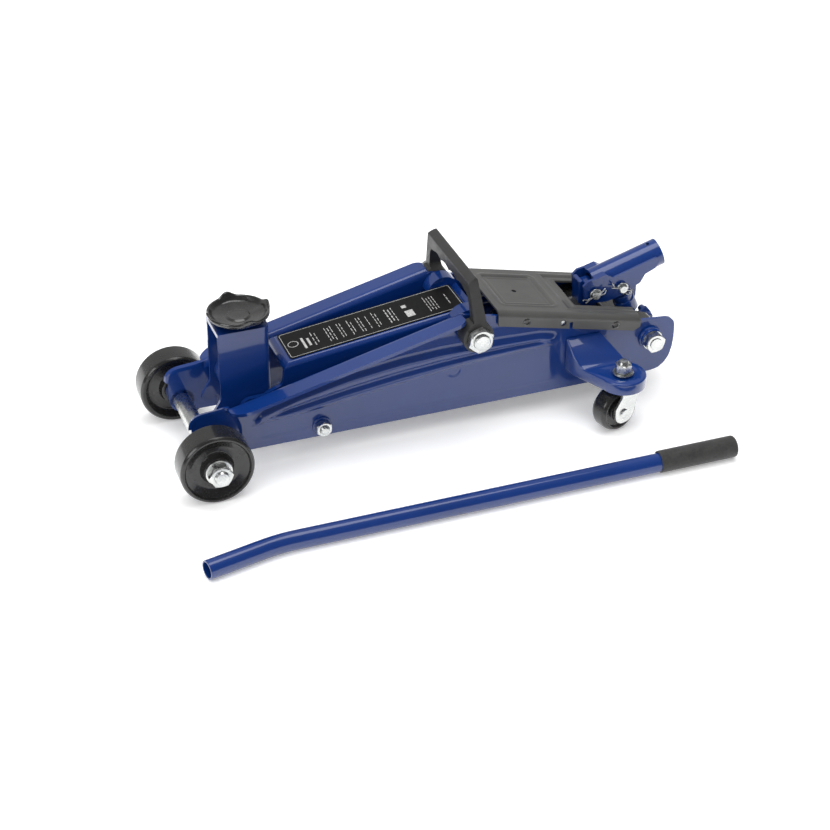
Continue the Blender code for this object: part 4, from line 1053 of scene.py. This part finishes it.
def pump_pieces():
    low, high = node_box("ram_cylinder")
    radius, length = (high.z - low.z) / 2, high.x - low.x
    tube = [(11.4, 0, 0.5), (radius - 4, 0, 0.8), (radius, 3, 1.0), (radius, length, 0), (11.4, length, 0)]
    at = (low.x, 0, (low.z + high.z) / 2)
    lathe("ram_tube", rounded(tube, 3), at, (1, 0, 0), IRON, "chassis", "ram_cylinder", sides=72)
    low, high = node_box("pump_block")
    front, half = low.x, high.y
    base = rounded([
        (front, 25, 3), (front, 76, 3), (366, 76, 3), (372, 62, 3), (409, 62, 4), (409, 36, 4), (400, 25, 3),
    ], 5)
    well = PLUNGER_PIN + PUMP_DOWN * 31.9
    wells = [
        rod(well, well - PUMP_DOWN * 40, 10.2, 40, 0.2),
        rod(VALVE - VALVE_OUT * 12, VALVE + VALVE_OUT * 30, 5.3, 32, 0.2),
        rod(VALVE + VALVE_OUT * 2.0, VALVE + VALVE_OUT * 40, 15.0, 48, 0.2),
    ]
    wells += [mirrored(cutter(REAR_BOLT.x, REAR_BOLT.z, 26, 40, 5.3, 32), side) for side in SIDES.values()]
    solid("pump_body", prism(base, -half, half, "y"), IRON, "chassis", "pump_block", cut=wells, edge=1.0)
    x, z = SOCKET_PIN.x, SOCKET_PIN.z
    lug = [(front, 74.5), (front, 83), (343.8, 84), (343.8, 101.5), (347, 102), (350, 98)]
    lug += disc(x, z, 7.5, 20, math.radians(110), 0.0) + [(361, 74.5)]
    solid("socket_lug", prism(lug, -7.0, 7.0, "y"), BLUE, "chassis", cut=[cutter(x, z, -20, 20, 4.3, 40)], edge=0.8)
    barrel = rounded([
        (5.4, 0, 0.2), (9.7, 0, 0.4), (9.7, 11.5, 0.4), (8.4, 12.0, 0.4), (8.4, 14.5, 0.3), (9.2, 15.0, 0.3),
        (9.2, 19.0, 1.2), (5.4, 19.0, 0.3),
    ], 4)
    foot = PLUNGER_PIN + PUMP_DOWN * 31.7
    lathe("pump_barrel", barrel, foot, -PUMP_DOWN, BLUE, "chassis", "pump_cylinder", sides=64)
    own_shape("pump_plunger", STEEL, 0.6)
    stem = rounded([
        (0, -11, 0), (4.9, -11, 0.5), (4.9, 4, 0), (6.2, 4.4, 0.4), (6.2, 8.0, 0.5), (4.9, 8.6, 0.4), (4.9, 17, 1.2),
        (0, 17, 0),
    ], 4)
    tee, arm = VALVE + VALVE_OUT * 13, Vector((0, 9.4, 0))
    solid("valve_stem", turned(stem, VALVE, VALVE_OUT, 48), BLUE, "release_valve", "release_valve",
          join=[rod(tee - arm, tee + arm, 3.2, 32, 1.0)], edge=0.3)


# ---- carry handle and lever ----


def carry_handle_piece():
    """A moulded bail: round feet, legs that lean inwards, and a slanted grip bar with finger dips below."""
    px, pz = PIVOT.x, PIVOT.z
    top, out = HANDLE_HIGH.z, HANDLE_HIGH.y
    leg = arc(px, pz, 13.5, 48, 107, 418)
    leg += rounded([(238.1, 108.0, 0), (233.0, top, 1.6), (225.4, top - 5.0, 1.6), (227.0, 110.0, 0)], 4)[1:-1]
    half = [(out, 60, 0), (out, 106, 9), (46.5, top + 1, 7)]
    face = rounded([(-y, z, r) for y, z, r in half] + half[::-1], 10)
    dips = [(1.8 * i - 36, 132.0 + 2.2 * abs(math.sin(math.pi * i / 10)) ** 0.8) for i in range(41)]
    side = [(42.8, 50, 0), (42.8, 108, 3), (48.0, 113, 4), (43.0, 132.0, 7), (37.0, 132.0, 0)]
    gap = rounded([(-y, z, r) for y, z, r in side], 8) + dips[1:-1] + rounded(side[::-1], 8)
    cuts = [prism(gap, px - 40, px + 40, "x"), cutter(px, pz, -70, 70, 7.25)]
    solid("carry_bail", prism(leg, -out, out, "y"), HANDLE, "carry_handle", "carry_handle",
          keep=[prism(face, px - 30, px + 30, "x")], cut=cuts, edge=1.3)


def lever_pieces():
    """The tube, bent once by its tip, with a rubber sleeve on the other end."""
    tip, (bend_x, bend_y), (end_x, end_y) = LEVER_TIP, LEVER_BEND, LEVER_END
    first = (bend_y - tip[1]) / (bend_x - tip[0])
    second = (end_y - bend_y) / (end_x - bend_x)
    route = [Vector((*tip, LEVER_RADIUS))]
    for step in range(17):
        ahead = LEVER_EASE * step / 8
        share = ahead / (2 * LEVER_EASE)
        y = bend_y - first * LEVER_EASE + first * ahead + (second - first) * LEVER_EASE * share * share
        route.append(Vector((bend_x - LEVER_EASE + ahead, y, LEVER_RADIUS)))
    route.append(Vector((end_x - 5.0, end_y, LEVER_RADIUS + 1.0)))
    mesh = bmesh.new()
    loops = []
    for i, point in enumerate(route):
        before = (point - route[max(i - 1, 0)]).normalized()
        after = (route[min(i + 1, len(route) - 1)] - point).normalized()
        along = (before + after).normalized()
        side = along.cross(Vector(UP)).normalized()
        up = side.cross(along)
        for radius in (LEVER_RADIUS, LEVER_BORE):
            loops.append([mesh.verts.new(point + side * u + up * v) for u, v in disc(0, 0, radius, 56)])
    for here, there in [*zip(loops, loops[2:]), loops[:2], loops[-2:]]:
        bridge(mesh, here, there)
    obj = to_object("lever_bar", mesh, 30)
    bevel(obj, 0.35, 3, 50)
    finished(obj, BLUE, "lever", "lever_tube")
    run = (route[-1] - route[-2]).normalized()
    outer, inner = 9.3, LEVER_RADIUS + 0.25
    start = Vector((end_x, end_y, outer + 0.2)) - run * 70.0
    profile = [(0, 66)] + rounded([(inner, 66, 0), (inner, 0, 0.3), (outer, 0, 0.9), (outer, 70, 2.6), (0, 70, 0)], 5)
    lathe("lever_grip_sleeve", profile, start, run, RUBBER, "lever", "lever_grip", sides=64, sharp=40)


# ---- stage, light and camera ----


def stage_and_light():
    floor_material = material(
        "studio_floor", (0.88, 0.88, 0.88), 0.85, tint=((3.0,), (0.87, 0.87, 0.87), (0.89, 0.89, 0.89)),
        Specular_IOR_Level=0.1, Emission_Color=(1.0, 1.0, 1.0, 1.0), Emission_Strength=0.25,
    )
    data = bpy.data.meshes.new("studio_floor")
    data.from_pydata([(-6, -6, 0), (6, -6, 0), (6, 6, 0), (-6, 6, 0)], [], [(0, 1, 2, 3)])
    floor = bpy.data.objects.new("studio_floor", data)
    floor.location.z = -0.0002
    data.materials.append(floor_material)
    bpy.context.scene.collection.objects.link(floor)

    world = bpy.data.worlds.new("studio")
    world.use_nodes = True
    tree = world.node_tree
    background = tree.nodes["Background"]
    coordinates = tree.nodes.new("ShaderNodeTexCoord")
    split = tree.nodes.new("ShaderNodeSeparateXYZ")
    ramp = tree.nodes.new("ShaderNodeValToRGB")
    tree.links.new(coordinates.outputs["Generated"], split.inputs["Vector"])
    tree.links.new(split.outputs["Y"], ramp.inputs["Fac"])
    stops = ((0.0, (0.15, 0.15, 0.16, 1)), (0.8, (0.62, 0.62, 0.62, 1)))
    for element, (position, grey) in zip(ramp.color_ramp.elements, stops):
        element.position, element.color = position, grey
    tree.links.new(ramp.outputs["Color"], background.inputs["Color"])
    background.inputs["Strength"].default_value = 0.8
    bpy.context.scene.world = world

    def area(name, at, towards, size, power, glossy=True):
        light = bpy.data.lights.new(name, "AREA")
        light.shape = "RECTANGLE"
        light.size, light.size_y = size
        light.energy = power
        lamp = bpy.data.objects.new(name, light)
        lamp.location = at
        lamp.rotation_euler = (Vector(towards) - Vector(at)).to_track_quat("-Z", "Y").to_euler()
        lamp.visible_glossy = glossy
        bpy.context.scene.collection.objects.link(lamp)

    area("fill_box", (0.0, 0.0, 2.4), (0, 0, 0), (4.0, 4.0), 92, glossy=False)
    area("front_box", (-0.6, -2.2, 1.3), (0, 0, 0.1), (2.4, 1.2), 14, glossy=False)
    area("top_box", (0.1, 0.1, 1.6), (0, 0, 0), (1.0, 0.8), 7)
    area("left_box", (-1.5, -0.6, 0.9), (0, 0, 0.05), (0.8, 0.8), 7)


def camera():
    data = bpy.data.cameras.new("photo_camera")
    data.sensor_width = 36.0
    data.lens = CAMERA_LENS
    data.clip_end = 50.0
    obj = bpy.data.objects.new("photo_camera", data)
    at, towards = (ORIGIN + Vector(point) * MM for point in (CAMERA_AT, CAMERA_TOWARDS))
    obj.location = at
    obj.rotation_euler = (towards - at).to_track_quat("-Z", "Y").to_euler()
    bpy.context.scene.collection.objects.link(obj)
    bpy.context.scene.camera = obj


camera()
frame_pieces()
cover_piece()
lift_arm_pieces()
label_pieces()
saddle_bracket_pieces()
saddle_pieces()
linkage_pieces()
front_wheel_pieces()
caster_pieces()
socket_pieces()
pump_pieces()
carry_handle_piece()
lever_pieces()
own_shape("saddle_stop_ring", STEEL, 0.4)
stage_and_light()
bpy.context.scene.view_settings.view_transform = "Standard"
